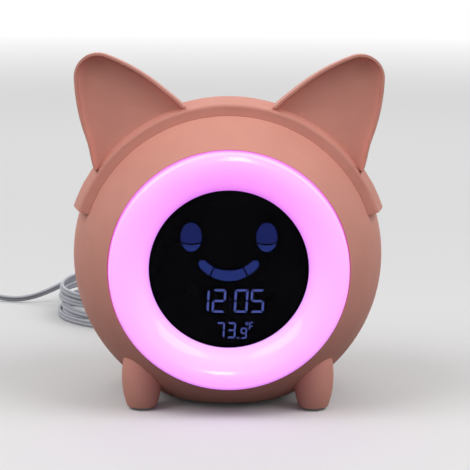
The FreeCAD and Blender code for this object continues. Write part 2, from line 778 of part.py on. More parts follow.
def make_ring():
    """The lit ring: an arched skin with a rounded rim and a lip round the window."""
    lip_reach = size.window_reach + size.ring_lip
    arch = bulge(size.ring_crown - lip_reach, size.ring_crown_radius - size.window_radius)
    arch_centre = size.ring_crown - arch
    rim_outer = size.ring_radius - size.ring_draft
    rim_inner = rim_outer - size.rim_width
    rim_top = arch_centre + across(arch, rim_inner - size.ring_crown_radius)
    inner_arch = arch - size.ring_wall
    lip_outer = size.ring_crown_radius - across(inner_arch, size.window_reach - arch_centre)
    wall_inner = rim_outer - size.ring_wall
    wall_top = arch_centre + across(inner_arch, wall_inner - size.ring_crown_radius)
    points = (
        (size.seat_reach, size.ring_radius),
        (rim_top - size.rim_drop, rim_outer),
        (rim_top, rim_inner),
        (lip_reach, size.window_radius),
        (size.window_reach, size.window_radius),
        (size.window_reach, lip_outer),
        (wall_top, wall_inner),
        (size.seat_reach, size.ring_radius - size.ring_wall),
    )
    arcs = {1: (size.rim_round, -1), 2: (arch, -1), 5: (inner_arch, 1)}
    piece(turned("light_ring", points, arcs), "light_ring")


def make_window():
    border = size.window_radius + size.window_overlap
    bevel = size.fit_gap
    points = ((window_back, 0), (window_back, border), (size.window_reach - bevel, border),
              (size.window_reach, border - bevel), (size.window_reach, 0))
    piece(turned("display_window", points), "display_window")


def make_reflector():
    """A white tray behind the ring with a round hole over each lamp."""
    outer = size.seat_inner - size.fit_gap * 2
    inner = size.light_board_inner
    wall = size.reflector_wall
    floor = size.board_reach + wall
    points = (
        (size.board_reach, inner), (window_back, inner), (window_back, inner + wall),
        (floor, inner + wall * 2), (floor, outer - wall * 2), (size.seat_reach, outer - wall),
        (size.seat_reach, outer), (size.board_reach, outer),
    )
    body = turned("ring_reflector", points)
    sketch = new_sketch(body, "reflector_hole", "XZ_Plane")
    draw_circle(sketch, size.light_circle, 0, size.lamp_hole)
    hole = drill(body, sketch)
    doc.recompute()
    repeat_round(body, hole, sketch, LAMP_COUNT)
    piece(body, "ring_reflector")


def make_light_board():
    body = new_body("light_board")
    sketch = new_sketch(body, "light_board_face", "XZ_Plane", light_board_back)
    draw_circle(sketch, 0, 0, size.light_board_outer)
    draw_circle(sketch, 0, 0, size.light_board_inner)
    pad(body, sketch, size.board_thickness)
    piece(body, "light_board")


def make_lamps():
    lamps = []
    half = size.lamp_width / 2
    for index in range(LAMP_COUNT):
        x, z = spot_on_circle(size.light_circle, 360 * index / LAMP_COUNT)
        lamps.append(block("lamp_%d" % index,
                           (x - half, -(size.board_reach + size.lamp_height), z - half),
                           (x + half, -size.board_reach, z + half)))
    piece(join("ring_lamps", lamps), "ring_lamps")


def block_piece(label, low, high):
    piece(block(label, low, high), label, *low)


def rod_piece(label, radius, x, y, z, length, along="y"):
    piece(rod(label, radius, x, y, z, length, along), label, x, y, z)


def make_display():
    rod_piece("display_panel", size.display_radius, 0, -display_front, 0,
              size.display_thickness)
    rod_piece("display_backlight", size.display_radius, 0, -display_back, 0,
              size.backlight_thickness)


def make_main_board():
    """A round board with a drilled tab at each post."""
    body = new_body("main_board")
    disc = new_sketch(body, "main_board_disc", "XZ_Plane", main_back)
    draw_circle(disc, 0, 0, size.main_board_radius)
    pad(body, disc, size.board_thickness)
    root_reach = size.main_board_radius - size.post_radius
    half = tab_half
    tab_end = post_circle + half
    tab = new_sketch(body, "main_board_tab", "XZ_Plane", main_back)
    draw(tab, ((root_reach, -half), (tab_end - size.tab_corner, -half),
               (tab_end, size.tab_corner - half), (tab_end, half - size.tab_corner),
               (tab_end - size.tab_corner, half), (root_reach, half)))
    tab_pad = pad(body, tab, size.board_thickness)
    hole = new_sketch(body, "main_board_hole", "XZ_Plane")
    draw_circle(hole, post_circle, 0, size.small_screw_radius + size.fit_gap)
    tab_hole = drill(body, hole)
    doc.recompute()
    pattern = body.newObject("PartDesign::PolarPattern", "main_board_tabs")
    pattern.Originals = [tab_pad, tab_hole]
    pattern.Axis = (disc, ["N_Axis"])
    pattern.Angle = 360
    pattern.Occurrences = POST_COUNT
    body.Tip = pattern
    piece(body, "main_board")


def make_chips():
    """The parts soldered to the back of the main board."""
    chips = []
    for number, (x, z, width, height, depth) in enumerate(CHIPS):
        chips.append(block("chip_%d" % number,
                           (x - width / 2, -main_back, z - height / 2),
                           (x + width / 2, depth - main_back, z + height / 2)))
    piece(join("main_board_parts", chips), "main_board_parts")


def screw(name, x, y, z, facing, head_radius, head_height, shank_radius, shank_length):
    """A pan screw whose head seats at y; facing -1 drives it towards the face."""
    if facing < 0:
        head = rod(name + "_head", head_radius, x, y, z, head_height)
        shank = rod(name + "_shank", shank_radius, x, y - shank_length, z, shank_length)
    else:
        head = rod(name + "_head", head_radius, x, y - head_height, z, head_height)
        shank = rod(name + "_shank", shank_radius, x, y, z, shank_length)
    return join(name, [head, shank])


def small_screw(name, x, y, z, facing):
    return screw(name, x, y, z, facing, size.small_head_radius, size.small_head_height,
                 size.small_screw_radius, size.small_screw_length)


def make_screws():
    case = [screw("case_screw_%d" % number, x, size.case_head_back, z, -1,
                  size.case_head_radius, size.case_head_height,
                  size.case_screw_radius, size.case_screw_length)
            for number, (x, z) in enumerate(boss_places())]
    piece(group("case_screws", case), "case_screws")
    main = [small_screw("main_screw_%d" % number, x, -main_back, z, -1)
            for number, (x, z) in enumerate(post_places())]
    piece(group("main_board_screws", main), "main_board_screws")
    board_front = board_back - size.board_thickness
    button = [small_screw("button_screw_%d" % number, x, board_front, z, 1)
              for number, (x, z) in enumerate(board_posts())]
    piece(group("button_board_screws", button), "button_board_screws")


def group(name, objects):
    """Keep several like pieces together as separate solids."""
    obj = doc.addObject("Part::Compound", name)
    obj.Links = objects
    return obj


def make_button_board():
    board_front = board_back - size.board_thickness
    body = new_body("button_board")
    face = new_sketch(body, "button_board_face", "XZ_Plane", -board_back)
    draw_box(face, -size.button_board_half, board_bottom,
             size.button_board_half, size.button_board_top)
    pad(body, face, size.board_thickness)
    holes = new_sketch(body, "button_board_holes", "XZ_Plane", -board_front)
    for x, z in board_posts():
        draw_circle(holes, x, z, size.small_screw_radius + size.fit_gap)
    drill(body, holes)
    piece(body, "button_board")
    switches = []
    half = size.switch_width / 2
    for name, column, row in BUTTONS:
        x = size.button_spacing * column
        z = rows[row]
        back = board_back
        case = block(name + "_switch", (x - half, back, z - half),
                     (x + half, back + size.switch_height, z + half))
        plunger = rod(name + "_plunger", size.plunger_radius, x, back + size.switch_height,
                      z, size.plunger_height)
        switches.append(join(name + "_tact", [case, plunger]))
    piece(group("tact_switches", switches), "tact_switches")


def make_buttons():
    cap_top = panel_face + size.button_rise
    stem_tip = (board_back + size.switch_height + size.plunger_height
                + size.button_travel + size.fit_gap)
    flange_front = panel_inner - size.button_flange_thickness
    round_edge = size.button_edge
    profile = (
        (stem_tip, 0), (stem_tip, size.plunger_radius),
        (flange_front, size.plunger_radius), (flange_front, size.button_flange),
        (panel_inner, size.button_flange), (panel_inner, size.button_radius),
        (cap_top - round_edge, size.button_radius), (cap_top, size.button_radius - round_edge),
        (cap_top, 0),
    )
    points = [(-plain(depth), radius) for depth, radius in profile]
    for name, column, row in BUTTONS:
        piece(turned(name, points), name, size.button_spacing * column, 0, rows[row])


def make_slide_switch():
    """The slide switch's case, its knob behind the slot, and the room sensor."""
    left = -size.slide_side
    case_back = panel_inner - slide_gap()
    case_half = size.switch_width / 2
    block_piece("slide_switch",
                (left - case_half, case_back - size.slide_body_depth,
                 size.slide_height - size.slide_body_height / 2),
                (left + case_half, case_back,
                 size.slide_height + size.slide_body_height / 2))
    flange_half = size.slide_body_height / 2 - size.knob_travel / 2
    flange = block("slide_knob_flange",
                   (left - case_half + size.fit_gap, case_back + size.fit_gap / 2,
                    size.slide_height - flange_half - size.knob_travel / 2),
                   (left + case_half - size.fit_gap, panel_inner - size.fit_gap / 2,
                    size.slide_height + flange_half - size.knob_travel / 2))
    cap = block("slide_knob_cap",
                (left - size.knob_width / 2, panel_inner - slide_gap() / 2,
                 size.slide_height - (size.knob_height + size.knob_travel) / 2),
                (left + size.knob_width / 2, panel_face + size.button_rise,
                 size.slide_height + (size.knob_height - size.knob_travel) / 2))
    piece(join("slide_knob", [flange, cap]), "slide_knob")
    rod_piece("room_sensor", size.sensor_radius, size.slide_side,
              panel_inner - size.sensor_length, size.slide_height, size.sensor_length)


def make_speaker():
    z = size.speaker_height
    rim = rod("speaker_rim", size.speaker_radius, 0, panel_inner - size.speaker_rim, z,
              size.speaker_rim)
    basket_front = panel_inner - size.speaker_rim - size.speaker_depth
    basket = doc.addObject("Part::Cone", "speaker_basket")
    bind(basket, "Radius1", size.magnet_radius)
    bind(basket, "Radius2", size.speaker_radius - size.cup_wall)
    bind(basket, "Height", size.speaker_depth)
    basket.Placement = FreeCAD.Placement(FreeCAD.Vector(), FACE_AXIS)
    move(basket, 0, basket_front, z)
    cone_space = doc.addObject("Part::Cone", "speaker_hollow")
    bind(cone_space, "Radius1", size.magnet_radius - size.cup_wall)
    bind(cone_space, "Radius2", size.speaker_radius - size.cup_wall)
    bind(cone_space, "Height", size.speaker_depth + size.speaker_rim - size.cup_wall)
    cone_space.Placement = FreeCAD.Placement(FreeCAD.Vector(), FACE_AXIS)
    move(cone_space, 0, basket_front + size.cup_wall, z)
    frame = cut("speaker_frame", join("speaker_body", [rim, basket]), [cone_space])
    piece(frame, "speaker_frame")
    cone = doc.addObject("Part::Cone", "speaker_cone_outside")
    bind(cone, "Radius1", size.magnet_radius - size.cup_wall - size.fit_gap)
    bind(cone, "Radius2", size.speaker_radius - size.cup_wall - size.fit_gap)
    bind(cone, "Height", size.speaker_depth + size.speaker_rim - size.cup_wall
         - size.fit_gap)
    cone.Placement = FreeCAD.Placement(FreeCAD.Vector(), FACE_AXIS)
    move(cone, 0, basket_front + size.cup_wall + size.fit_gap, z)
    dish = doc.addObject("Part::Cone", "speaker_cone_inside")
    bind(dish, "Radius1", size.magnet_radius - size.cup_wall * 2)
    bind(dish, "Radius2", size.speaker_radius - size.cup_wall * 1.5)
    bind(dish, "Height", size.speaker_depth + size.speaker_rim - size.cup_wall
         - size.fit_gap)
    dish.Placement = FreeCAD.Placement(FreeCAD.Vector(), FACE_AXIS)
    move(dish, 0, basket_front + size.cup_wall * 1.5 + size.fit_gap, z)
    piece(cut("speaker_cone", cone, [dish]), "speaker_cone")
    rod_piece("speaker_magnet", size.magnet_radius, 0, basket_front - size.magnet_depth, z,
              size.magnet_depth)


def make_power_parts():
    half = size.socket_width / 2
    back = panel_inner
    case = block("socket_case",
                 (-half, board_back, size.socket_height - half),
                 (half, back, size.socket_height + half))
    bore = rod("socket_bore", size.barrel_radius + size.barrel_gap, 0,
               back - size.socket_bore_depth, size.socket_height, size.socket_bore_depth)
    piece(cut("power_socket", case, [bore]), "power_socket")
    pack_back = board_back - size.board_thickness
    block_piece("battery_pack",
                (-size.pack_width / 2, pack_back - size.pack_depth, pack_bottom),
                (size.pack_width / 2, pack_back, pack_top))
    block_piece("board_ribbon",
                (-size.ribbon_width / 2, -main_back, ribbon_bottom),
                (size.ribbon_width / 2, pack_back, ribbon_bottom + size.ribbon_thickness))


def make_cell_parts():
    """The button cell, its contact and its round door in the base."""
    door_bottom = size.door_sunk - size.base_drop
    cell_bottom = door_bottom + size.door_thickness + size.fit_gap
    ceiling = (door_bottom + size.door_thickness + size.cell_thickness
               + size.contact_thickness + size.fit_gap * 4)
    rod_piece("button_cell", size.cell_radius, 0, -size.cell_reach, cell_bottom,
              size.cell_thickness, "z")
    rod_piece("cell_contact", size.cell_radius / 2, 0, -size.cell_reach,
              ceiling - size.contact_thickness, size.contact_thickness, "z")
    disc = rod("door_disc", size.door_radius, 0, 0, 0, size.door_thickness, "z")
    slot = block("door_slot", (-size.slot_length / 2, -size.slot_width / 2, 0),
                 (size.slot_length / 2, size.slot_width / 2, size.slot_depth))
    piece(cut("cell_door", disc, [slot]), "cell_door", 0, -size.cell_reach, door_bottom)


def make_legs():
    """Four egg-shaped legs with rubber pads, pegged into the casing."""
    floor = -size.centre_height
    leg_bottom = floor + size.pad_thickness - size.pad_sink
    pads = []
    for name, side, front in LEGS:
        x = size.leg_side * side
        y = size.leg_reach * -front
        egg = doc.addObject("Part::Ellipsoid", name + "_egg")
        bind(egg, "Radius1", size.leg_half_height)
        bind(egg, "Radius2", size.leg_radius)
        bind(egg, "Radius3", size.leg_radius)
        move(egg, x, y, -size.leg_drop)
        below = block(name + "_below",
                      (x - size.leg_radius * 2, y - size.leg_radius * 2,
                       floor - size.leg_half_height),
                      (x + size.leg_radius * 2, y + size.leg_radius * 2, leg_bottom))
        seat = rod(name + "_seat", size.pad_radius + size.fit_gap, x, y,
                   leg_bottom, size.pad_sink, "z")
        trimmed = cut(name + "_trimmed", egg,
                      [ball(name + "_casing", size.body_radius), below, seat])
        peg = rod(name + "_peg", size.peg_radius, x, y, -size.leg_drop - size.peg_radius,
                  size.peg_length + size.peg_radius, "z")
        piece(join(name + "_whole", [trimmed, peg]), name)
        pads.append(rod(name + "_pad", size.pad_radius, x, y, floor, size.pad_thickness, "z"))
    piece(group("foot_pads", pads), "foot_pads")


def solid_feature(name, shape):
    """Hold a shape that was made by functions as an object of the document."""
    obj = doc.addObject("Part::Feature", name)
    obj.Shape = shape
    return obj


def ear_outline(inset):
    """An upright ear's outline: curved sides that run into a round tip."""
    tip_radius = size.ear_tip_radius.value - inset
    side_radius = size.ear_side_radius.value - inset
    half_width = size.ear_half_width.value - inset
    root_height = size.body_radius.value
    tip_centre = size.ear_tip.value - size.ear_tip_radius.value
    reach = math.hypot(half_width, tip_centre - root_height)
    along = (side_radius ** 2 - (side_radius - tip_radius) ** 2 + reach ** 2) / (2 * reach)
    away = math.sqrt(side_radius ** 2 - along ** 2)
    ux = -half_width / reach
    uz = (tip_centre - root_height) / reach
    centre_x = half_width + along * ux - away * uz
    centre_z = root_height + along * uz + away * ux
    lean = math.atan2(tip_centre - centre_z, -centre_x)
    start = math.asin((root_height * EAR_ROOT - centre_z) / side_radius)

    def on_side(angle, side):
        return FreeCAD.Vector((centre_x + side_radius * math.cos(angle)) * side, 0,
                              centre_z + side_radius * math.sin(angle))

    top = FreeCAD.Vector(0, 0, tip_centre + tip_radius)
    middle = (start + lean) / 2
    edges = [
        Part.Arc(on_side(start, 1), on_side(middle, 1), on_side(lean, 1)).toShape(),
        Part.Arc(on_side(lean, 1), top, on_side(lean, -1)).toShape(),
        Part.Arc(on_side(lean, -1), on_side(middle, -1), on_side(start, -1)).toShape(),
        Part.LineSegment(on_side(start, -1), on_side(start, 1)).toShape(),
    ]
    return Part.Face(Part.Wire(edges))


def ear_shape():
    """An upright ear with a slanted back and a hollow front inside a thin rim."""
    front = -size.band_front.value
    depth = size.band_width.value
    tip = size.ear_tip.value
    root_height = size.body_radius.value
    whole = ear_outline(0)
    whole.translate(FreeCAD.Vector(0, front, 0))
    whole = whole.extrude(FreeCAD.Vector(0, depth, 0))
    behind = Part.makePolygon([
        FreeCAD.Vector(-tip, front + depth, root_height),
        FreeCAD.Vector(-tip, front + size.ear_tip_depth.value, tip),
        FreeCAD.Vector(-tip, front + depth * 2, tip),
        FreeCAD.Vector(-tip, front + depth, root_height)])
    whole = whole.cut(Part.Face(behind).extrude(FreeCAD.Vector(tip * 2, 0, 0)))
    inner = ear_outline(size.ear_rim.value)
    inner.translate(FreeCAD.Vector(0, front - depth, 0))
    inner = inner.extrude(FreeCAD.Vector(0, depth * 2, 0))
    hollow_middle = (root_height + tip) / 2
    bowl_radius = size.ear_side_radius.value * EAR_BOWL
    bowl = Part.makeSphere(bowl_radius, FreeCAD.Vector(
        0, front + size.ear_hollow.value - bowl_radius, hollow_middle))
    band_outer = size.body_radius.value + size.band_thickness.value
    under = Part.makeCylinder(band_outer, depth * 4, FreeCAD.Vector(0, front - depth * 2, 0),
                              FreeCAD.Vector(0, 1, 0))
    hollow = inner.common(bowl).cut(under)
    root = Part.makeSphere(size.body_radius.value)
    return whole.cut(hollow).cut(root)


def make_headband():
    """The hoop over the top of the casing, with an ear on each side."""
    outer = size.body_radius + size.band_thickness
    inner = size.body_radius
    edge = size.band_edge
    front = size.band_front
    points = (
        (front, across(inner, front)),
        (front, across(outer, front) - edge),
        (front - edge, across(outer, front - edge)),
        (band_back, across(outer, band_back)),
        (band_back, across(inner, band_back)),
    )
    arcs = {1: (edge * BAND_EDGE_ROUND, 1), 2: (outer, 1), 4: (inner, -1)}
    band = turned("headband", points, arcs, 180 - size.band_end_angle * 2)
    doc.recompute()
    ears = []
    for side, name in ((-1, "left_ear"), (1, "right_ear")):
        shape = ear_shape()
        shape.rotate(FreeCAD.Vector(), FreeCAD.Vector(0, 1, 0), size.ear_angle.value * side)
        ears.append(solid_feature(name, shape))
    piece(join("ear_headband", [band] + ears), "ear_headband")


def rounded_path(points):
    """Straight runs joined by tangent arcs, each as large as its runs allow."""
    spots = [FreeCAD.Vector(*point) for point in points]
    edges = []
    start = spots[0]
    radii = []
    for before, corner, after in zip(spots, spots[1:], spots[2:]):
        first = (corner - before).normalize()
        last = (after - corner).normalize()
        turn = first.getAngle(last)
        shorter = min((corner - before).Length, (after - corner).Length)
        radii.append(ARC_SHARE * shorter / math.tan(turn / 2))
        arc_start = corner - first * (ARC_SHARE * shorter)
        arc_end = corner + last * (ARC_SHARE * shorter)
        sagitta = radii[-1] / math.cos(turn / 2) - radii[-1]
        middle = corner + (last - first).normalize() * sagitta
        edges.append(Part.LineSegment(start, arc_start).toShape())
        edges.append(Part.Arc(arc_start, middle, arc_end).toShape())
        start = arc_end
    edges.append(Part.LineSegment(start, spots[-1]).toShape())
    print("bend radii", ["%.1f" % radius for radius in radii])
    return edges


def tube(name, edges, radius):
    """A round tube along a path of edges that run into one another."""
    path = Part.Wire(edges)
    start = path.Edges[0].valueAt(path.Edges[0].FirstParameter)
    heading = path.Edges[0].tangentAt(path.Edges[0].FirstParameter)
    ring = Part.Wire([Part.makeCircle(radius, start, heading)])
    shape = path.makePipeShell([ring], True, False)
    expected = math.pi * radius ** 2 * path.Length
    print("%s length %.1f volume %.1f expected %.1f"
          % (name, path.Length, shape.Volume, expected))
    obj = solid_feature(name, shape)
    obj.Label = name
    pieces.append(obj)
    return obj


def lead_pieces():
    """Names and shapes of the power lead, laid on the floor behind the clock."""
    radius = size.lead_radius.value
    grip_start = (centre_back + panel_face).value
    plug_height = (size.centre_height + size.socket_height).value
    lead_start = grip_start + size.plug_length.value + size.relief_length.value
    coil = coil_path()
    coil_in = coil[0].Vertexes[0].Point
    heading_in = coil_heading(0)
    coil_out = coil[-1].Vertexes[-1].Point
    heading_out = coil_heading(COIL_TURNS)
    drop = [(0, lead_start, plug_height), (0, lead_start + FIRST_RUN, plug_height)]
    drop += LEAD_DROP + [coil_in - heading_in * LAST_DROP, coil_in]
    run = [coil_out, coil_out + heading_out * RUN_START] + LEAD_RUN
    tube("lead_drop", rounded_path(drop), radius)
    tube("lead_coil", coil, radius)
    tube("lead_run", rounded_path(run), radius)


def smooth(share):
    return share * share * (3 - 2 * share)


def coil_point(turns):
    """A point of the coil's centre line after a number of turns."""
    layer_turns = COIL_TURNS / COIL_LAYERS
    layer = min(int(turns / layer_turns), COIL_LAYERS - 1)
    within = turns - layer * layer_turns
    if layer % 2:
        within = layer_turns - within
    inward = within
    first_bend = layer > 0 if layer % 2 == 0 else layer < COIL_LAYERS - 1
    last_bend = layer < COIL_LAYERS - 1 if layer % 2 == 0 else True
    if first_bend and within < COIL_EASE:
        inward = COIL_EASE / 2 + within * within / (2 * COIL_EASE)
    rest = layer_turns - within
    if last_bend and rest < COIL_EASE:
        inward = layer_turns - COIL_EASE / 2 - rest * rest / (2 * COIL_EASE)
    radius = COIL_RADIUS - COIL_PITCH * inward
    height = COIL_BOTTOM
    for climb in range(1, COIL_LAYERS):
        share = (turns - climb * layer_turns) / (COIL_EASE * 2) + 0.5
        height += COIL_RISE * smooth(min(max(share, 0.0), 1.0))
    angle = math.tau * turns
    return FreeCAD.Vector(COIL_MIDDLE[0] + radius * math.cos(angle),
                          COIL_MIDDLE[1] + radius * math.sin(angle), height)


def coil_heading(turns):
    step = 0.0005
    before = coil_point(max(turns - step, 0.0))
    after = coil_point(min(turns + step, COIL_TURNS))
    return (after - before).normalize()


def corner_arc(start, corner, end):
    """The arc from start to end whose end tangents meet at the corner."""
    first = (corner - start).normalize()
    turn = first.getAngle(end - corner)
    middle = (start + end) / 2
    sagitta = (end - start).Length / 2 * math.tan(turn / 4)
    return Part.Arc(start, middle + (corner - middle).normalize() * sagitta, end).toShape()


def biarc(start, start_heading, end, end_heading):
    """Two arcs that join two points and keep the heading at both."""
    gap = end - start
    headings = start_heading + end_heading
    spread = 2 * (1 - start_heading.dot(end_heading))
    along = gap.dot(headings)
    reach = (math.sqrt(along * along + spread * gap.dot(gap)) - along) / spread
    first_corner = start + start_heading * reach
    last_corner = end - end_heading * reach
    joint = (first_corner + last_corner) / 2
    return [corner_arc(start, first_corner, joint), corner_arc(joint, last_corner, end)]


def coil_path():
    """One unbroken line: in and out again, a layer higher at each reversal."""
    steps = int(COIL_TURNS * 4)
    marks = [COIL_TURNS * index / steps for index in range(steps + 1)]
    spots = [coil_point(mark) for mark in marks]
    headings = [coil_heading(mark) for mark in marks]
    tail = size.lead_radius.value * 2
    edges = [Part.LineSegment(spots[0] - headings[0] * tail, spots[0]).toShape()]
    for index in range(steps):
        edges += biarc(spots[index], headings[index], spots[index + 1], headings[index + 1])
    edges.append(Part.LineSegment(spots[-1], spots[-1] + headings[-1] * tail).toShape())
    print_least_gap(edges)
    return edges


def print_least_gap(edges):
    """Print the least gap between stretches of the coil that lie apart."""
    spots = []
    for edge in edges:
        first = edge.FirstParameter
        last = edge.LastParameter
        spots += [edge.valueAt(first + (last - first) * share / 12) for share in range(12)]
    skip = len(spots) // (int(COIL_TURNS) * 2)
    least = min((spots[i] - spots[j]).Length
                for i in range(len(spots)) for j in range(i + skip, len(spots)))
    print("coil's least gap to itself %.2f" % (least - size.lead_radius.value * 2))


def make_power_plug():
    """The barrel plug in the back of the clock, with its tapered strain relief."""
    tip = panel_inner - size.socket_bore_depth + size.fit_gap * 2
    grip_end = panel_face + size.plug_length
    bevel = size.button_edge
    profile = ((tip, 0), (tip, size.barrel_radius), (panel_face, size.barrel_radius),
               (panel_face, size.plug_radius), (grip_end - bevel, size.plug_radius),
               (grip_end, size.plug_radius - bevel), (grip_end, 0))
    points = [(-depth, radius) for depth, radius in profile]
    piece(turned("power_plug", points), "power_plug", 0, 0, size.socket_height)
    relief_end = grip_end + size.relief_length
    profile = ((grip_end, 0), (grip_end, size.relief_radius),
               (relief_end, size.lead_radius + size.relief_skin), (relief_end, 0))
    points = [(-depth, radius) for depth, radius in profile]
    piece(turned("power_plug_relief", points), "power_plug_relief", 0, 0,
          size.socket_height)


def floor_piece(obj, label):
    """Name a finished piece that is already placed on the floor."""
    obj.Label = label
    pieces.append(obj)


def make_far_plug():
    """The flat plug at the far end of the lead, lying on the floor."""
    end_x, end_y, end_z = LEAD_RUN[-1]
    relief = doc.addObject("Part::Cone", "usb_relief_cone")
    bind(relief, "Radius1", size.lead_radius + size.relief_skin)
    bind(relief, "Radius2", size.relief_radius)
    bind(relief, "Height", size.usb_relief_length)
    away = FreeCAD.Rotation(FreeCAD.Vector(0, 1, 0), -90)
    relief.Placement = FreeCAD.Placement(FreeCAD.Vector(end_x, end_y, end_z), away)
    floor_piece(relief, "usb_plug_relief")
    grip_start = end_x - size.usb_relief_length
    grip_end = grip_start - size.usb_grip_length
    grip = new_body("usb_grip")
    outline = new_sketch(grip, "usb_grip_outline", "YZ_Plane")
    draw_round_box(outline, size.usb_grip_width / 2, size.usb_grip_height / 2,
                   size.usb_grip_round)
    pad(grip, outline, size.usb_grip_length)
    move(grip, grip_end, end_y, end_z)
    floor_piece(grip, "usb_plug_grip")
    shell_end = grip_end - size.usb_length
    skin = size.usb_skin
    shell = block("usb_shell_block",
                  (shell_end, end_y - size.usb_width / 2, end_z - size.usb_height / 2),
                  (grip_end, end_y + size.usb_width / 2, end_z + size.usb_height / 2))
    hollow = block("usb_shell_hollow",
                   (shell_end, end_y - size.usb_width / 2 + skin,
                    end_z - size.usb_height / 2 + skin),
                   (grip_end, end_y + size.usb_width / 2 - skin,
                    end_z + size.usb_height / 2 - skin))
    floor_piece(cut("usb_shell", shell, [hollow]), "usb_plug_shell")
    tongue = block("usb_tongue_block",
                   (shell_end + skin, end_y - size.usb_width / 2 + skin * 2,
                    end_z - size.usb_height / 2 + skin),
                   (grip_end, end_y + size.usb_width / 2 - skin * 2, end_z))
    floor_piece(tongue, "usb_plug_tongue")


def failed_objects():
    names = []
    for obj in doc.Objects:
        if "Invalid" in obj.State or "Error" in obj.State:
            names.append(obj.Name)
    for obj in pieces:
        if obj.Shape.isNull() or not obj.Shape.isValid() or not obj.Shape.Solids:
            names.append(obj.Label)
    return names


def build_clock():
    make_front_shell()
    make_rear_shell()
    make_ring()
    make_window()
    make_reflector()
    make_light_board()
    make_lamps()
    make_display()
    make_main_board()
    make_chips()
    make_button_board()
    make_buttons()
    make_slide_switch()
    make_speaker()
    make_power_parts()
    make_cell_parts()
    make_screws()
    make_headband()
    make_legs()
    make_power_plug()
    lead_pieces()
    make_far_plug()


build_clock()
doc.recompute()
failed = failed_objects()
if failed:
    raise RuntimeError("these objects failed: " + ", ".join(failed))
os.makedirs("parts", exist_ok=True)
for obj in pieces:
    obj.Shape.exportStep("parts/%s.step" % obj.Label)
print("%d pieces written" % len(pieces))
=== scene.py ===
import json
import math

import bmesh
import bpy
from mathutils import Matrix, Quaternion, Vector

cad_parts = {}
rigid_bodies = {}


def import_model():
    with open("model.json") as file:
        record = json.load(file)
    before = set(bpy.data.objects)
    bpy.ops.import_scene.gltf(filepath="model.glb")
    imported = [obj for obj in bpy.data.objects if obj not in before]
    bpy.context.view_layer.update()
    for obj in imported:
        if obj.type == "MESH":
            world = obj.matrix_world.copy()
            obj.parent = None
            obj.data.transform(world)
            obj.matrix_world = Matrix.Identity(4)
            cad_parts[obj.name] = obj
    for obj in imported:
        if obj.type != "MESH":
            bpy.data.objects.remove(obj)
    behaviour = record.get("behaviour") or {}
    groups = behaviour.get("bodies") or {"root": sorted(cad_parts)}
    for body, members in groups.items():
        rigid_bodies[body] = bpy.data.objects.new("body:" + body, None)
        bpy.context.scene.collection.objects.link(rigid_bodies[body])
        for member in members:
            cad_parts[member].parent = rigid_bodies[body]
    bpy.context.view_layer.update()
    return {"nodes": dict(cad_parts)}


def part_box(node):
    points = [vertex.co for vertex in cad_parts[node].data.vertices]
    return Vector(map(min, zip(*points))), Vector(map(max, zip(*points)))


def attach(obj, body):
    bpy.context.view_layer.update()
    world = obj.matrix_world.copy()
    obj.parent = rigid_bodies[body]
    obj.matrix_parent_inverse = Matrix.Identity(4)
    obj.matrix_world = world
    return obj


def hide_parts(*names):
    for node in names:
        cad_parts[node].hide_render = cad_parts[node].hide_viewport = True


# Round children's alarm clock with a lit ring, cat ears and a dark display.
# Everything is in metres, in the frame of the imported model: the face looks along -Y.

for leftover in list(bpy.data.objects):
    bpy.data.objects.remove(leftover)
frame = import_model()

MM = 0.001
_, shell_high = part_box("front_shell")
panel_low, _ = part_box("display_panel")
window_low, window_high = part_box("display_window")
BODY_RADIUS = shell_high.x
SEAM_TONGUE_END = 6.0 * MM
CENTRE = Vector((0, shell_high.y - SEAM_TONGUE_END, shell_high.z - BODY_RADIUS))
scene = bpy.context.scene


# Camera

CAMERA_DISTANCE = 0.700
CAMERA_PITCH = math.radians(10.0)
CAMERA_TURN = math.radians(0.8)
CAMERA_ROLL = math.radians(0.35)
SENSOR_WIDTH = 36.0
PICTURE = 470
FOCAL_PIXELS = 1788
CENTRE_PIXEL = (227.6, 252.7)


def make_camera():
    data = bpy.data.cameras.new("camera")
    camera = bpy.data.objects.new("camera", data)
    scene.collection.objects.link(camera)
    data.sensor_width = SENSOR_WIDTH
    data.lens = SENSOR_WIDTH * FOCAL_PIXELS / PICTURE
    data.shift_x = (PICTURE / 2 - CENTRE_PIXEL[0]) / PICTURE
    data.shift_y = (CENTRE_PIXEL[1] - PICTURE / 2) / PICTURE
    data.clip_start = 0.01
    data.clip_end = 50.0
    away = Vector((-math.sin(CAMERA_TURN) * math.cos(CAMERA_PITCH),
                   -math.cos(CAMERA_TURN) * math.cos(CAMERA_PITCH),
                   math.sin(CAMERA_PITCH)))
    camera.location = CENTRE + away * CAMERA_DISTANCE
    camera.rotation_mode = "QUATERNION"
    rolled = Quaternion((0, 0, 1), CAMERA_ROLL)
    camera.rotation_quaternion = (-away).to_track_quat("-Z", "Y") @ rolled
    scene.camera = camera


# Shared shapes and measures

BISECTIONS = 30


def smooth(share):
    share = min(max(share, 0.0), 1.0)
    return share * share * (3 - 2 * share)


def crossing(low, high, is_past):
    """The last number of a range before a test begins to hold."""
    for _ in range(BISECTIONS):
        middle = (low + high) / 2
        if is_past(middle):
            high = middle
        else:
            low = middle
    return low


def mesh_object(name, vertices, faces, smooth_shaded=True):
    mesh = bpy.data.meshes.new(name)
    mesh.from_pydata([tuple(vertex) for vertex in vertices], [], faces)
    mesh.validate()
    mesh.update()
    for polygon in mesh.polygons:
        polygon.use_smooth = smooth_shaded
    obj = bpy.data.objects.new(name, mesh)
    scene.collection.objects.link(obj)
    return obj


def faces_between(first, second, count):
    """Faces that join two rings of vertices, from the index at which each ring starts."""
    return [(first + index, first + (index + 1) % count,
             second + (index + 1) % count, second + index) for index in range(count)]


# Power lead, whose route repeats the points that its solids follow, in millimetres

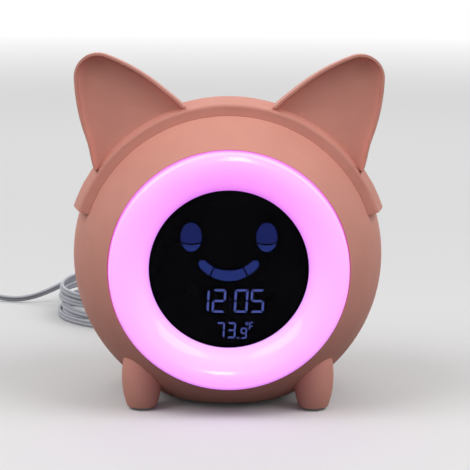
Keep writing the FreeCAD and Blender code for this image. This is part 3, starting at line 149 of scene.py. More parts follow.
LEAD_DIAMETER = 3.0 * MM
LEAD_THICKNESS = 1.5 * MM
LEAD_EXIT = (0.0, 72.6, 37.9)
LEAD_DROP = [
    LEAD_EXIT,
    (0.0, 85.1, 37.9),
    (0.4, 100.0, 28.0),
    (0.8, 108.0, 12.0),
]
LAST_DROP = 18.7
RUN_START = 12.5
LEAD_RUN = [
    (-86.0, 168.5, 5.2),
    (-98.0, 169.0, 1.5),
    (-109.0, 172.5, 1.5),
    (-120.0, 175.0, 4.0),
    (-131.0, 175.0, 4.0),
]
COIL_MIDDLE = (-37.0, 145.0)
COIL_RADIUS = 42.2
COIL_PITCH = 2.3
COIL_RISE = 4.2
COIL_WAVE = 0.8
COIL_WAVE_BEAT = 1.37
COIL_LOOSENESS = 0.9
COIL_LOOSE_BEAT = 0.73
COIL_BOTTOM = 1.52
COIL_TURNS = 6 + 1 / 3
COIL_LAYERS = 4
COIL_EASE = 0.25
POINTS_PER_TURN = 16
SPLINE_ORDER = 3
SPLINE_STEPS = 6


def coil_point(turns):
    """A point of the coil's centre line after a number of turns."""
    layer_turns = COIL_TURNS / COIL_LAYERS
    layer = min(int(turns / layer_turns), COIL_LAYERS - 1)
    within = turns - layer * layer_turns
    if layer % 2:
        within = layer_turns - within
    inward = within
    first_bend = layer > 0 if layer % 2 == 0 else layer < COIL_LAYERS - 1
    last_bend = layer < COIL_LAYERS - 1 if layer % 2 == 0 else True
    if first_bend and within < COIL_EASE:
        inward = COIL_EASE / 2 + within * within / (2 * COIL_EASE)
    rest = layer_turns - within
    if last_bend and rest < COIL_EASE:
        inward = layer_turns - COIL_EASE / 2 - rest * rest / (2 * COIL_EASE)
    radius = COIL_RADIUS - COIL_PITCH * inward
    height = COIL_BOTTOM
    for climb in range(1, COIL_LAYERS):
        height += COIL_RISE * smooth((turns - climb * layer_turns) / (COIL_EASE * 2) + 0.5)
    angle = math.tau * turns
    free = smooth(turns / COIL_EASE) * smooth((COIL_TURNS - turns) / COIL_EASE)
    radius += COIL_LOOSENESS * free * math.sin(angle * COIL_LOOSE_BEAT)
    above_floor = (height - COIL_BOTTOM) / (COIL_RISE * (COIL_LAYERS - 1))
    height += COIL_WAVE * above_floor * math.sin(angle * COIL_WAVE_BEAT)
    return Vector((COIL_MIDDLE[0] + radius * math.cos(angle),
                   COIL_MIDDLE[1] + radius * math.sin(angle), height))


def coil_heading(turns):
    step = 0.0005
    after = coil_point(min(turns + step, COIL_TURNS))
    return (after - coil_point(max(turns - step, 0.0))).normalized()


def lead_route():
    """The control points of the whole lead, from the clock to the far plug."""
    steps = round(COIL_TURNS * POINTS_PER_TURN)
    coil = [coil_point(COIL_TURNS * index / steps) for index in range(steps + 1)]
    points = [Vector(point) for point in LEAD_DROP]
    points.append(coil[0] - coil_heading(0) * LAST_DROP)
    points += coil
    points.append(coil[-1] + coil_heading(COIL_TURNS) * RUN_START)
    points += [Vector(point) for point in LEAD_RUN]
    return [point * MM for point in points]


def spline_points(points):
    """The points of the smooth line that a route controls."""
    curve = bpy.data.curves.new("lead_route", "CURVE")
    curve.dimensions = "3D"
    spline = curve.splines.new("NURBS")
    spline.points.add(len(points) - 1)
    for target, point in zip(spline.points, points):
        target.co = (*point, 1.0)
    spline.order_u = SPLINE_ORDER
    spline.use_endpoint_u = True
    spline.resolution_u = SPLINE_STEPS
    holder = bpy.data.objects.new("lead_route", curve)
    mesh = bpy.data.meshes.new_from_object(holder)
    line = [vertex.co.copy() for vertex in mesh.vertices]
    bpy.data.meshes.remove(mesh)
    bpy.data.objects.remove(holder)
    bpy.data.curves.remove(curve)
    return line


TWIN_SIDES = 10
WEB_OPENING = math.radians(40)
TWIST_SWING = math.radians(14)
TWIST_LENGTHS = (0.061, 0.097)


def twin_section():
    """Outline of two round wires side by side, joined by a thin web."""
    radius = LEAD_THICKNESS / 2
    offset = LEAD_DIAMETER / 2 - radius
    reach = math.pi - WEB_OPENING
    section = []
    for side in (1, -1):
        for index in range(TWIN_SIDES + 1):
            angle = -reach + 2 * reach * index / TWIN_SIDES
            section.append((side * (offset + radius * math.cos(angle)),
                            side * radius * math.sin(angle)))
    return section


def make_lead(material):
    line = spline_points(lead_route())
    section = twin_section()
    count = len(section)
    vertices = []
    up = Vector((0, 0, 1))
    length = 0.0
    for index, point in enumerate(line):
        before = line[max(index - 1, 0)]
        after = line[min(index + 1, len(line) - 1)]
        heading = (after - before).normalized()
        up = (up - heading * up.dot(heading)).normalized()
        length += (point - before).length
        sway = TWIST_SWING * sum(math.sin(math.tau * length / reach)
                                 for reach in TWIST_LENGTHS) / len(TWIST_LENGTHS)
        tall = Matrix.Rotation(sway, 3, heading) @ up
        wide = heading.cross(tall)
        vertices += [point + tall * u + wide * v for u, v in section]
    faces = []
    for ring in range(len(line) - 1):
        faces += faces_between(ring * count, (ring + 1) * count, count)
    faces.append(tuple(range(count - 1, -1, -1)))
    faces.append(tuple(range((len(line) - 1) * count, len(line) * count)))
    lead = mesh_object("power_lead", vertices, faces)
    lead.data.materials.append(material)
    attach(lead, "case")
    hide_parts("lead_drop", "lead_coil", "lead_run")


# Headband, whose ears are hollowed down to the band that passes in front of them, in
# millimetres about the casing's middle

BAND_FRONT = 22.0
BAND_OUTER = 63.8
BAND_EDGE = 1.1
EAR_ROOT = 60.0
EAR_TIP = 95.5
EAR_TIP_RADIUS = 10.0
EAR_SIDE_RADIUS = 72.0
EAR_HALF_WIDTH = 20.6
EAR_LEAN = math.radians(35.6)
EAR_STEPS = 16
LOWEST_SIDE_ANGLE = -0.3
HOLLOW_CLEARANCE = 0.12
MERGE_DISTANCE = 0.001 * MM
SHARP_ANGLE = math.radians(32)
# depth behind the ear's front, inset from the ear's outline, share of the outline
HOLLOW_RINGS = ((-2.0, 1.0, 1.0), (0.0, 1.0, 1.0), (0.16, 1.0, 1.0), (0.32, 1.0, 1.0),
                (0.7, 1.0, 1.0), (1.1, 1.05, 1.0), (1.8, 1.3, 1.0), (2.5, 1.8, 1.0),
                (3.1, 2.7, 1.0), (3.55, 4.0, 1.0), (3.85, 5.6, 1.0), (4.05, 7.5, 1.0),
                (4.25, 7.5, 0.75), (4.4, 7.5, 0.5), (4.5, 7.5, 0.25))


def band_radius(depth):
    """The headband's outer radius round the face's axis, at a depth behind its front."""
    if depth < BAND_EDGE:
        bend = max(BAND_EDGE - max(depth, 0.0), 0.0)
        corner = math.sqrt(BAND_OUTER ** 2 - (BAND_FRONT - BAND_EDGE) ** 2) - BAND_EDGE
        return corner + math.sqrt(BAND_EDGE ** 2 - bend ** 2)
    return math.sqrt(BAND_OUTER ** 2 - (BAND_FRONT - depth) ** 2)


def ear_ring(inset, floor_radius):
    """An outline inside an upright ear, closed below by a circle round the face's axis."""
    tip_radius = EAR_TIP_RADIUS - inset
    side_radius = EAR_SIDE_RADIUS - inset
    half_width = EAR_HALF_WIDTH - inset
    tip_centre = EAR_TIP - EAR_TIP_RADIUS
    reach = math.hypot(half_width, tip_centre - EAR_ROOT)
    along = (side_radius ** 2 - (side_radius - tip_radius) ** 2 + reach ** 2) / (2 * reach)
    away = math.sqrt(side_radius ** 2 - along ** 2)
    ux = -half_width / reach
    uz = (tip_centre - EAR_ROOT) / reach
    centre_x = half_width + along * ux - away * uz
    centre_z = EAR_ROOT + along * uz + away * ux
    lean = math.atan2(tip_centre - centre_z, -centre_x)

    def on_side(angle):
        return (centre_x + side_radius * math.cos(angle),
                centre_z + side_radius * math.sin(angle))

    low = crossing(LOWEST_SIDE_ANGLE, lean,
                   lambda angle: math.hypot(*on_side(angle)) >= floor_radius)
    shares = [index / EAR_STEPS for index in range(EAR_STEPS)]
    side = [on_side(low + (lean - low) * share) for share in shares]
    tip = [(tip_radius * math.cos(angle), tip_centre + tip_radius * math.sin(angle))
           for angle in [lean + (math.pi - 2 * lean) * share for share in shares]]
    swing = math.atan2(side[0][0], side[0][1])
    floor = [(floor_radius * math.sin(angle), floor_radius * math.cos(angle))
             for angle in [-swing + 2 * swing * share for share in shares]]
    other = [(-x, z) for x, z in [on_side(lean)] + side[:0:-1]]
    return side + tip + other + floor


def hollow_cutter(side):
    """The room in front of an ear's hollow, at its place on the headband."""
    turn = Matrix.Rotation(EAR_LEAN * side, 3, "Y")
    vertices = []
    for depth, inset, share in HOLLOW_RINGS:
        ring = ear_ring(inset, band_radius(depth) + HOLLOW_CLEARANCE)
        middle_z = sum(z for _, z in ring) / len(ring)
        for x, z in ring:
            place = Vector((x * share, depth - BAND_FRONT, middle_z + (z - middle_z) * share))
            vertices.append(CENTRE + turn @ place * MM)
    count = EAR_STEPS * 4
    faces = [tuple(range(count)), tuple(range(len(vertices) - 1, len(vertices) - count - 1, -1))]
    for first in range(0, len(vertices) - count, count):
        faces += faces_between(first + count, first, count)
    return mesh_object("hollow_cutter", vertices, faces)


SLIM_SHARE = 0.08
SLIM_SHIFT = 0.85
SLIM_REACH = 12.0
SLIM_BOX = (26.0, 54.0)
LOWER_BY = 1.0
LOWER_START = 62.0


def slim_ears(mesh):
    """Bring the ears' edges to the slimmer outline that the picture shows."""
    for vertex in mesh.vertices:
        side = 1 if vertex.co.x > CENTRE.x else -1
        turn = Matrix.Rotation(EAR_LEAN * side, 3, "Y")
        place = turn.inverted() @ (vertex.co - CENTRE) / MM
        if abs(place.x) > SLIM_BOX[0] or place.z < SLIM_BOX[1]:
            continue
        above = smooth((math.hypot(place.x, place.z) - EAR_ROOT) / SLIM_REACH)
        place.x -= (SLIM_SHARE * place.x + SLIM_SHIFT * side) * above
        place.z -= LOWER_BY * smooth((place.z - LOWER_START) / (EAR_TIP - LOWER_START))
        vertex.co = CENTRE + turn @ place * MM


def make_headband(material):
    """A copy of the model's headband, with its ears hollowed and slimmed."""
    node = frame["nodes"]["ear_headband"]
    band = bpy.data.objects.new("headband_with_ears", node.data.copy())
    band.matrix_world = node.matrix_world
    scene.collection.objects.link(band)
    shape = bmesh.new()
    shape.from_mesh(band.data)
    bmesh.ops.remove_doubles(shape, verts=shape.verts, dist=MERGE_DISTANCE)
    shape.to_mesh(band.data)
    shape.free()
    cutters = [hollow_cutter(side) for side in (-1, 1)]
    for cutter in cutters:
        carve = band.modifiers.new("carve", "BOOLEAN")
        carve.operation = "DIFFERENCE"
        carve.solver = "EXACT"
        carve.object = cutter
    seen = band.evaluated_get(bpy.context.evaluated_depsgraph_get())
    carved = bpy.data.meshes.new_from_object(seen)
    band.modifiers.clear()
    band.data = carved
    for cutter in cutters:
        bpy.data.objects.remove(cutter)
    if "custom_normal" in carved.attributes:
        carved.attributes.remove(carved.attributes["custom_normal"])
    slim_ears(carved)
    for polygon in carved.polygons:
        polygon.use_smooth = True
    carved.set_sharp_from_angle(angle=SHARP_ANGLE)
    carved.materials.clear()
    carved.materials.append(material)
    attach(band, "case")
    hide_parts("ear_headband")


# Signs of the display, on the front of the display glass, in millimetres about the
# casing's middle

SIGN_THICKNESS = 0.12 * MM
SIGN_SINK = 0.02 * MM
DIGIT_SLANT = math.tan(math.radians(3.0))
SEGMENTS = {"0": "abcdef", "1": "bc", "2": "abged", "3": "abgcd", "5": "afgcd",
            "7": "abc", "9": "abcdfg", "F": "afeg"}


def outline_area(outline):
    return sum(a[0] * b[1] - b[0] * a[1]
               for a, b in zip(outline, outline[1:] + outline[:1])) / 2


def sign_piece(name, outlines, material):
    """Thin plates on the display glass, from their outlines."""
    vertices = []
    faces = []
    back = panel_low.y + SIGN_SINK
    front = back - SIGN_THICKNESS
    for outline in outlines:
        if outline_area(outline) < 0:
            outline = outline[::-1]
        count = len(outline)
        base = len(vertices)
        for depth in (back, front):
            vertices += [(CENTRE.x + x * MM, depth, CENTRE.z + z * MM) for x, z in outline]
        faces.append(tuple(base + index for index in range(count - 1, -1, -1)))
        faces.append(tuple(base + count + index for index in range(count)))
        faces += faces_between(base, base + count, count)
    obj = mesh_object(name, vertices, faces, smooth_shaded=False)
    obj.data.materials.append(material)
    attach(obj, "case")


EYE_SIDE = 14.05
EYE_HEIGHT = 11.9
EYE_HALF = (3.95, 5.45)
LID_MIDDLE = 9.2
LID_BOW = 0.77
LID_GAP = 0.62
EYE_STEPS = 40
LID_STEPS = 12


def eye_outline(side, upper):
    """One part of an eye: what lies above or below the closed lid's curved line."""
    half_width, half_height = EYE_HALF
    shift = LID_GAP / 2 if upper else -LID_GAP / 2

    def lid(x):
        return LID_MIDDLE + shift + LID_BOW * (x / half_width) ** 2

    def above(angle):
        x = half_width * math.cos(angle)
        z = EYE_HEIGHT + half_height * math.sin(angle)
        return z - lid(x)

    low = crossing(-math.pi / 2, 0.0, lambda angle: above(angle) > 0)
    start, end = (low, math.pi - low) if upper else (low, -math.pi - low)
    outline = []
    for index in range(EYE_STEPS + 1):
        angle = start + (end - start) * index / EYE_STEPS
        outline.append((half_width * math.cos(angle),
                        EYE_HEIGHT + half_height * math.sin(angle)))
    edge = half_width * math.cos(low)
    for index in range(1, LID_STEPS):
        x = -edge + 2 * edge * index / LID_STEPS
        outline.append((x, lid(x)))
    return [(side * EYE_SIDE + x, z) for x, z in outline]


SMILE_RADIUS = 12.9
SMILE_LOW = -2.7
SMILE_HALF_ANGLE = math.radians(48.8)
SMILE_SPLIT = math.radians(27.5)
SMILE_STROKE = (3.98, 3.15)
SMILE_BULGE = 0.35
SMILE_STEPS = 16


def smile_point(angle, offset):
    """A point of the smile: an angle from its lowest point, an offset outwards."""
    radius = SMILE_RADIUS + offset
    return (radius * math.sin(angle), SMILE_LOW + SMILE_RADIUS - radius * math.cos(angle))


def smile_half_stroke(angle):
    share = abs(angle) / SMILE_HALF_ANGLE
    return (SMILE_STROKE[0] + (SMILE_STROKE[1] - SMILE_STROKE[0]) * share) / 2


def smile_end(angle, side, bulge):
    """Points across the smile at an angle, bowed to one side by a bulge."""
    half = smile_half_stroke(angle)
    points = []
    for index in range(SMILE_STEPS // 2 + 1):
        swing = -math.pi / 2 + math.pi * index / (SMILE_STEPS // 2)
        along = angle + side * bulge * math.cos(swing) / SMILE_RADIUS
        points.append(smile_point(along, -half * math.sin(swing)))
    return points


def smile_part(first, last, first_bulge, last_bulge):
    outline = []
    for index in range(SMILE_STEPS + 1):
        angle = first + (last - first) * index / SMILE_STEPS
        outline.append(smile_point(angle, smile_half_stroke(angle)))
    outline = outline[:-1] + smile_end(last, 1, last_bulge)
    for index in range(1, SMILE_STEPS):
        angle = last + (first - last) * index / SMILE_STEPS
        outline.append(smile_point(angle, -smile_half_stroke(angle)))
    return outline + smile_end(first, -1, first_bulge)[::-1][:-1]


def smile_outlines():
    gap = LID_GAP / 2 / SMILE_RADIUS
    round_end = SMILE_STROKE[1] / 2
    outer = SMILE_HALF_ANGLE
    middle = smile_part(-SMILE_SPLIT + gap, SMILE_SPLIT - gap, SMILE_BULGE, SMILE_BULGE)
    right = smile_part(SMILE_SPLIT + gap, outer, -SMILE_BULGE, round_end)
    left = [(-x, z) for x, z in right]
    return [left, middle, right]


def segment_outlines(half_width, half_height, stroke, gap):
    """Outlines of a seven-segment digit's segments round its middle, by letter."""
    inner_x = half_width - stroke
    inner_z = half_height - stroke
    corner = stroke / 2
    top = [(corner - half_width, half_height), (half_width - corner, half_height),
           (inner_x - gap, inner_z), (gap - inner_x, inner_z)]
    side = [(half_width, half_height - corner), (half_width, gap + corner / 2),
            (half_width - corner, gap), (inner_x, gap + corner), (inner_x, inner_z - gap)]
    middle = [(half_width - corner - gap, 0), (inner_x - gap, corner),
              (gap - inner_x, corner), (corner + gap - half_width, 0),
              (gap - inner_x, -corner), (inner_x - gap, -corner)]

    def flipped(outline, x_sign, z_sign):
        return [(x * x_sign, z * z_sign) for x, z in outline]

    return {"a": top, "b": side, "c": flipped(side, 1, -1), "d": flipped(top, 1, -1),
            "e": flipped(side, -1, -1), "f": flipped(side, -1, 1), "g": middle}


def glyph(letter, x, z, half_width, half_height, stroke, gap):
    outlines = segment_outlines(half_width, half_height, stroke, gap)
    return [[(x + px + pz * DIGIT_SLANT, z + pz) for px, pz in outlines[segment]]
            for segment in SEGMENTS[letter]]


TIME_HEIGHT = -12.2
TIME_DIGITS = (("1", -9.78), ("2", -3.6), ("0", 4.7), ("5", 10.75))
TIME_SHAPE = (2.55, 4.45, 0.82, 0.24)
COLON_DOTS = ((0.53, -11.7), (0.53, -14.2))
COLON_HALF = 0.36
WARM_DIGITS = (("7", -3.03, -23.4, (1.62, 3.05, 0.65, 0.12)),
               ("3", 1.11, -23.4, (1.62, 3.05, 0.65, 0.12)),
               ("9", 5.73, -24.5, (1.2, 2.1, 0.52, 0.08)),
               ("F", 8.6, -21.8, (0.88, 1.6, 0.42, 0.07)))
WARM_POINT = (3.52, -26.3)
WARM_POINT_HALF = 0.3
DEGREE_MIDDLE = (6.92, -20.8)
DEGREE_RADII = (0.28, 0.58)
DEGREE_STEPS = 20


def square_outline(middle, half):
    x, z = middle
    return [(x - half, z - half), (x + half, z - half), (x + half, z + half),
            (x - half, z + half)]


def degree_outlines():
    """The degree sign's ring, as two half rings that touch."""
    halves = []
    for first in (0.0, math.pi):
        outline = []
        for radius, order in ((DEGREE_RADII[1], 1), (DEGREE_RADII[0], -1)):
            turns = [first + math.pi * index / DEGREE_STEPS
                     for index in range(DEGREE_STEPS + 1)][::order]
            outline += [(DEGREE_MIDDLE[0] + radius * math.cos(turn),
                         DEGREE_MIDDLE[1] + radius * math.sin(turn)) for turn in turns]
        halves.append(outline)
    return halves


UPPER_LIGHT = (0.0103, 0.0160, 0.1022)
LOWER_LIGHT = (0.0168, 0.0296, 0.1559)
BRIGHT_LIGHT = (0.0704, 0.0908, 0.3278)
FAINT_LIGHT = (0.0200, 0.0140, 0.0450)


def make_signs():
    upper = glow("display_upper", UPPER_LIGHT)
    lower = glow("display_lower", LOWER_LIGHT)
    bright = glow("display_bright", BRIGHT_LIGHT)
    faint = glow("display_faint", FAINT_LIGHT)
    sign_piece("sign_eyes", [eye_outline(side, True) for side in (-1, 1)], upper)
    sign_piece("sign_lids", [eye_outline(side, False) for side in (-1, 1)], lower)
    sign_piece("sign_smile", smile_outlines(), lower)
    digits = []
    for letter, x in TIME_DIGITS:
        digits += glyph(letter, x, TIME_HEIGHT, *TIME_SHAPE)
    sign_piece("sign_time", digits, bright)
    sign_piece("sign_colon", [square_outline(dot, COLON_HALF) for dot in COLON_DOTS], faint)
    warmth = [square_outline(WARM_POINT, WARM_POINT_HALF)] + degree_outlines()
    for letter, x, z, shape in WARM_DIGITS:
        warmth += glyph(letter, x, z, *shape)
    sign_piece("sign_warmth", warmth, bright)


# Printed border on the back of the window

MASK_RADIUS = 28.9 * MM
MASK_SIDES = 96
MASK_THICKNESS = 0.06 * MM
MASK_BLACK = (0.002, 0.002, 0.003)


def make_mask():
    """Black print round the edge of the window's back, over the display's rim."""
    outer = (window_high.x - window_low.x) / 2 - SIGN_SINK
    front = window_high.y + SIGN_SINK
    back = front + MASK_THICKNESS
    rings = ((MASK_RADIUS, front), (outer, front), (outer, back), (MASK_RADIUS, back))
    vertices = []
    for radius, depth in rings:
        for index in range(MASK_SIDES):
            angle = math.tau * index / MASK_SIDES
            vertices.append((CENTRE.x + radius * math.cos(angle), depth,
                             CENTRE.z + radius * math.sin(angle)))
    faces = []
    for first in range(len(rings)):
        second = (first + 1) % len(rings)
        faces += faces_between(first * MASK_SIDES, second * MASK_SIDES, MASK_SIDES)
    mask = mesh_object("window_mask", vertices, faces, smooth_shaded=False)
    mask.data.materials.append(plastic("mask_black", MASK_BLACK, 0.6, 0.1, specular=0.05))
    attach(mask, "case")


# Materials

SOCKETS = {
    "color": "Base Color", "roughness": "Roughness", "metallic": "Metallic", "ior": "IOR",
    "specular": "Specular IOR Level", "reflection": "Specular Tint", "coat": "Coat Weight",
    "coat_roughness": "Coat Roughness", "normal": "Normal", "emission": "Emission Color",
    "strength": "Emission Strength", "transmission": "Transmission Weight",
}
BODY_COLOR = (0.753, 0.342, 0.275)
WINDOW_TINT = (0.30, 0.30, 0.34)


class Paint:
    """A node material while it is being made; sizes of patterns are in metres."""

    def __init__(self, name):
        self.material = bpy.data.materials.new(name)
        self.material.use_nodes = True
        self.nodes = self.material.node_tree.nodes
        self.links = self.material.node_tree.links
        self.shader = self.nodes["Principled BSDF"]
        self.surface = self.nodes["Material Output"].inputs["Surface"]
        self.place = self.nodes.new("ShaderNodeTexCoord").outputs["Object"]

    def feed(self, socket, value):
        if isinstance(value, bpy.types.NodeSocket):
            self.links.new(value, socket)
        elif isinstance(value, tuple) and len(value) == 3 and socket.type == "RGBA":
            socket.default_value = (*value, 1.0)
        else:
            socket.default_value = value

    def node(self, kind, output, inputs=None, **settings):
        node = self.nodes.new("ShaderNode" + kind)
        for name, value in settings.items():
            setattr(node, name, value)
        for name, value in (inputs or {}).items():
            self.feed(node.inputs[name], value)
        return node.outputs[output]

    def noise(self, reach, detail=2.0, place=None):
        return self.node("TexNoise", "Fac", {"Vector": place or self.place,
                                             "Scale": 1 / reach, "Detail": detail})

    def spread(self, value, low, high, first=0.3, last=0.7):
        """Map the middle of a noise onto a range of numbers."""
        return self.node("MapRange", "Result", {"Value": value, "From Min": first,
                                                "From Max": last, "To Min": low,
                                                "To Max": high})

    def maths(self, operation, first, second=0.0):
        return self.node("Math", 0, {0: first, 1: second}, operation=operation)

    def axes(self):
        """The three coordinates of the place that is being shaded."""
        parts = self.nodes.new("ShaderNodeSeparateXYZ")
        self.links.new(self.place, parts.inputs[0])
        return parts.outputs

    def blend(self, share, first, second):
        node = self.nodes.new("ShaderNodeMix")
        node.data_type = "RGBA"
        for index, value in ((0, share), (6, first), (7, second)):
            self.feed(node.inputs[index], value)
        return node.outputs[2]

    def bump(self, height, depth, normal=None):
        inputs = {"Height": height, "Distance": depth}
        if normal is not None:
            inputs["Normal"] = normal
        return self.node("Bump", "Normal", inputs)

    def set(self, **values):
        for name, value in values.items():
            self.feed(self.shader.inputs[SOCKETS[name]], value)
        return self


def shade(color, share):
    return tuple(min(part * share, 1.0) for part in color)


# Painted shade along the joint of the front and rear shells: its place behind the middle, its
# half widths and how dark it gets.
SEAM_BACK = 4.0 * MM
SEAM_HALF = (0.14 * MM, 0.3 * MM)
SEAM_SHADE = 0.22
SHINE_SWING = 0.05


def plastic(name, color, roughness=0.45, mottle=0.03, grain=0.28 * MM, depth=0.012 * MM,
            edge=0.0, painted_seam_shade=False, **values):
    """Moulded plastic: a fine eroded grain, slow changes of colour and of shine, and where asked
    a painted shade along the joint of the front and rear shells.
    """
    paint = Paint(name)
    slow = paint.noise(14 * MM, 3.0)
    fine = paint.noise(grain, 2.0)
    tone = paint.blend(paint.spread(slow, 0.0, 1.0), shade(color, 1 - mottle),
                       shade(color, 1 + mottle))
    # Painted shade: a dark line round the casing where the front and rear shells meet, standing
    # in for the shade in the gap between them.
    if painted_seam_shade:
        behind = paint.maths("SUBTRACT", paint.axes()["Y"], CENTRE.y + SEAM_BACK)
        line = paint.spread(paint.maths("ABSOLUTE", behind), 1.0, 0.0, *SEAM_HALF)
        tone = paint.blend(line, tone, shade(color, SEAM_SHADE))
    shine = paint.spread(paint.noise(6 * MM), roughness - SHINE_SWING,
                         roughness + SHINE_SWING)
    paint.set(color=tone, roughness=shine, **values)
    round_edge = None
    if edge:
        round_edge = paint.node("Bevel", "Normal", {"Radius": edge}, samples=4)
    return paint.set(normal=paint.bump(fine, depth, round_edge)).material


def glow(name, color):
    """A lit sign, seen through the window's dark tint."""
    paint = Paint(name)
    seen = tuple(part / tint for part, tint in zip(color, WINDOW_TINT))
    strongest = max(seen)
    full = tuple(part / strongest for part in seen)
    cells = paint.noise(0.5 * MM)
    paint.set(color=shade(full, 0.02), roughness=0.5, specular=0.0, strength=strongest,
              emission=paint.blend(paint.spread(cells, 0.0, 1.0), shade(full, 0.94), full))
    return paint.material


def make_materials():
    """The material of each slot that the model's pieces have."""
    return {
        "body_pink": plastic("body_pink", BODY_COLOR, 0.5, edge=0.35 * MM, painted_seam_shade=True,
                             specular=0.06),
        # The headband takes the body's pink made 3% darker, a slight painted shade.
        "band_pink": plastic("band_pink", shade(BODY_COLOR, 0.97), 0.5, edge=0.35 * MM,
                             specular=0.06),
        "rubber_grey": plastic("rubber_grey", (0.35, 0.33, 0.33), 0.7, 0.08, 0.5 * MM,
                               0.03 * MM),
        "white_plastic": plastic("white_plastic", (0.80, 0.80, 0.78), 0.4, edge=0.2 * MM),
        "button_white": plastic("button_white", (0.82, 0.80, 0.78), 0.35, 0.02,
                                edge=0.25 * MM),
        "lamp_white": plastic("lamp_white", (0.85, 0.82, 0.62), 0.2, 0.05),
        "chip_black": plastic("chip_black", (0.03, 0.03, 0.03), 0.55, 0.2, 0.2 * MM,
                              0.02 * MM),
        "paper_black": plastic("paper_black", (0.05, 0.05, 0.05), 0.85, 0.25, 0.9 * MM,
                               0.1 * MM),
        # The lead's bluish white PVC is given as a darker bluish grey: its own bluish tint, and
        # a painted shade for the shade it lies in.
        "lead_white": plastic("lead_white", (0.50, 0.51, 0.57), 0.38, 0.03, 0.4 * MM,
                              0.01 * MM, specular=0.3),
        "board_green": circuit_board(),
        "steel": plated_steel(),
        "battery_silver": foil(),
        "display_glass": plastic("display_glass", (0.002, 0.002, 0.004), 0.3, 0.2,
                                 0.6 * MM, 0.002 * MM, specular=0.1),
        "window_black": tinted_window(),
        "ring_diffuser": lit_ring(),
    }


def circuit_board():
    """Green solder mask with faint copper runs under it."""
    paint = Paint("board_green")
    cells = paint.node("TexVoronoi", "Distance", {"Vector": paint.place, "Scale": 1 / (3 * MM)},
                       distance="MANHATTAN", feature="DISTANCE_TO_EDGE")
    runs = paint.spread(cells, 1.0, 0.0, 0.04, 0.07)
    mask = paint.blend(runs, (0.012, 0.12, 0.045), (0.03, 0.24, 0.09))
    return paint.set(color=mask, roughness=paint.spread(paint.noise(5 * MM), 0.28, 0.4),
                     normal=paint.bump(runs, 0.03 * MM)).material


def plated_steel():
    paint = Paint("steel")
    drawn = paint.node("Mapping", "Vector", {"Vector": paint.place, "Scale": (1.0, 14.0, 14.0)})
    lines = paint.noise(2.5 * MM, 4.0, drawn)
    return paint.set(color=paint.blend(paint.spread(lines, 0.0, 1.0), (0.55, 0.55, 0.54),
                                       (0.72, 0.72, 0.71)),
                     metallic=1.0, roughness=paint.spread(lines, 0.22, 0.38),
                     normal=paint.bump(lines, 0.004 * MM)).material


def foil():
    paint = Paint("battery_silver")
    creases = paint.noise(7 * MM, 5.0)
    return paint.set(color=paint.blend(paint.spread(creases, 0.0, 1.0), (0.5, 0.52, 0.54),
                                       (0.68, 0.70, 0.72)),
                     metallic=0.6, roughness=0.42, normal=paint.bump(creases, 0.3 * MM)).material


def tinted_window():
    """Dark tinted acrylic, through which only the lit signs show."""
    paint = Paint("window_black")
    haze = paint.noise(9 * MM, 3.0)
    return paint.set(color=paint.blend(paint.spread(haze, 0.0, 1.0), shade(WINDOW_TINT, 0.97),
                                       shade(WINDOW_TINT, 1.0)),
                     roughness=0.03, transmission=1.0, ior=1.45,
                     reflection=(0.05, 0.05, 0.06),
                     normal=paint.bump(haze, 0.002 * MM)).material


RING_EMISSION = (0.84, 0.185, 0.86)
RING_EDGE_EMISSION = (0.62, 0.14, 0.84)
RING_SKIN = (0.50, 0.56, 0.54)
RING_OUTER = 44.9 * MM
RING_INNER = 29.8 * MM
RING_OUTER_FADE = 2.2 * MM
RING_INNER_FADE = 1.0 * MM


def lit_ring():
    """Milky plastic lit from behind: even in the middle, weaker where the wall turns away."""
    paint = Paint("ring_diffuser")
    axes = paint.axes()
    side = paint.maths("SUBTRACT", axes["X"], CENTRE.x)
    rise = paint.maths("SUBTRACT", axes["Z"], CENTRE.z)
    reach = paint.maths("SQRT", paint.maths("ADD", paint.maths("MULTIPLY", side, side),
                                            paint.maths("MULTIPLY", rise, rise)))
    outer = paint.spread(reach, 1.0, 0.0, RING_OUTER - RING_OUTER_FADE, RING_OUTER)
    inner = paint.spread(reach, 0.0, 1.0, RING_INNER, RING_INNER + RING_INNER_FADE)
    even = paint.maths("MULTIPLY", outer, inner)
    cloud = paint.spread(paint.noise(11 * MM, 2.0), 0.97, 1.03)
    emission = paint.blend(even, RING_EDGE_EMISSION, RING_EMISSION)
    scaled = paint.nodes.new("ShaderNodeVectorMath")
    scaled.operation = "SCALE"
    paint.links.new(emission, scaled.inputs[0])
    paint.links.new(cloud, scaled.inputs["Scale"])
    fine = paint.noise(0.5 * MM)
    return paint.set(color=RING_SKIN, roughness=0.16, specular=0.5, coat=0.3,
                     coat_roughness=0.05, emission=scaled.outputs[0], strength=1.0,
                     normal=paint.bump(fine, 0.001 * MM)).material


def dress(materials):
    """Give every carried-over piece the material of its slot."""
    for node in frame["nodes"].values():
        for slot in node.material_slots:
            slot.material = materials[slot.material.name.split(".")[0]]


# Stage, world and lamps

FLOOR_HALF = 9.0
FLOOR_DROP = 0.3 * MM
FLOOR_COLOR = (0.84, 0.84, 0.84)
FLOOR_IN_LIGHT = (0.08, 0.08, 0.08)
FADE_START = 0.3
FADE_END = 2.6
WHITE = (1.0, 1.0, 1.0, 1.0)
SEEN_RAYS = ("Is Glossy Ray", "Is Transmission Ray")


def seen_ray(nodes, links):
    """1 for a ray that the camera, a mirror or a glass sees, and 0 for a ray of light."""
    path = nodes.new("ShaderNodeLightPath")
    seen = path.outputs["Is Camera Ray"]
    for name in SEEN_RAYS:
        most = nodes.new("ShaderNodeMath")
        most.operation = "MAXIMUM"
        links.new(seen, most.inputs[0])
        links.new(path.outputs[name], most.inputs[1])
        seen = most.outputs[0]
    return seen


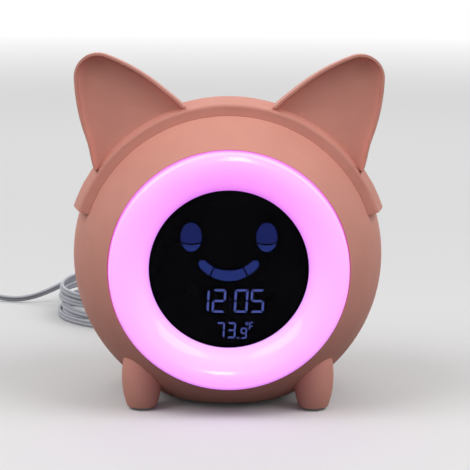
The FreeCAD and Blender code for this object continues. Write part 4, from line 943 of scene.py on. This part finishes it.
def make_stage():
    corners = [(x * FLOOR_HALF, y * FLOOR_HALF, -FLOOR_DROP)
               for x, y in ((-1, -1), (1, -1), (1, 1), (-1, 1))]
    floor = mesh_object("floor", corners, [(0, 1, 2, 3)], smooth_shaded=False)
    paint = Paint("floor")
    seen = seen_ray(paint.nodes, paint.links)
    paint.set(color=paint.blend(seen, FLOOR_IN_LIGHT, FLOOR_COLOR), roughness=0.9,
              specular=0.0)
    white = paint.node("Emission", "Emission", {"Color": WHITE, "Strength": 1.0})
    distance = paint.node("VectorMath", "Value", {0: paint.place}, operation="LENGTH")
    far = paint.spread(distance, 0.0, 1.0, FADE_START, FADE_END)
    mix = paint.nodes.new("ShaderNodeMixShader")
    paint.links.new(paint.maths("MULTIPLY", far, seen), mix.inputs[0])
    paint.links.new(paint.shader.outputs[0], mix.inputs[1])
    paint.links.new(white, mix.inputs[2])
    paint.links.new(mix.outputs[0], paint.surface)
    floor.data.materials.append(paint.material)


WORLD_LEVEL = 0.40


def make_world():
    world = bpy.data.worlds.new("studio")
    world.use_nodes = True
    scene.world = world
    nodes = world.node_tree.nodes
    links = world.node_tree.links
    strength = nodes.new("ShaderNodeMapRange")
    links.new(seen_ray(nodes, links), strength.inputs["Value"])
    strength.inputs["To Min"].default_value = WORLD_LEVEL
    strength.inputs["To Max"].default_value = 1.0
    background = nodes["Background"]
    background.inputs["Color"].default_value = WHITE
    links.new(strength.outputs["Result"], background.inputs["Strength"])


LAMPS = (
    # name, azimuth, elevation, distance, width, height, watts
    ("left_lamp", -63.0, 45.0, 1.1, 0.8, 0.8, 4.9),
    ("right_lamp", 63.0, 45.0, 1.1, 0.8, 0.8, 4.9),
    ("back_lamp", 180.0, 35.0, 1.2, 0.9, 0.6, 1.8),
    ("small_lamp", 2.5, 11.0, 1.0, 0.08, 0.17, 0.45),
)


def make_lamps():
    for name, azimuth, elevation, distance, width, height, watts in LAMPS:
        data = bpy.data.lights.new(name, "AREA")
        data.shape = "RECTANGLE"
        data.size = width
        data.size_y = height
        data.energy = watts
        lamp = bpy.data.objects.new(name, data)
        scene.collection.objects.link(lamp)
        turn = math.radians(azimuth)
        rise = math.radians(elevation)
        away = Vector((math.sin(turn) * math.cos(rise), -math.cos(turn) * math.cos(rise),
                       math.sin(rise)))
        lamp.location = CENTRE + away * distance
        lamp.rotation_mode = "QUATERNION"
        lamp.rotation_quaternion = (-away).to_track_quat("-Z", "Y")
        lamp.visible_camera = False


def main():
    make_camera()
    materials = make_materials()
    make_lead(materials["lead_white"])
    dress(materials)
    make_headband(materials["band_pink"])
    make_signs()
    make_mask()
    make_stage()
    make_world()
    make_lamps()
    scene.view_settings.view_transform = "Standard"


main()
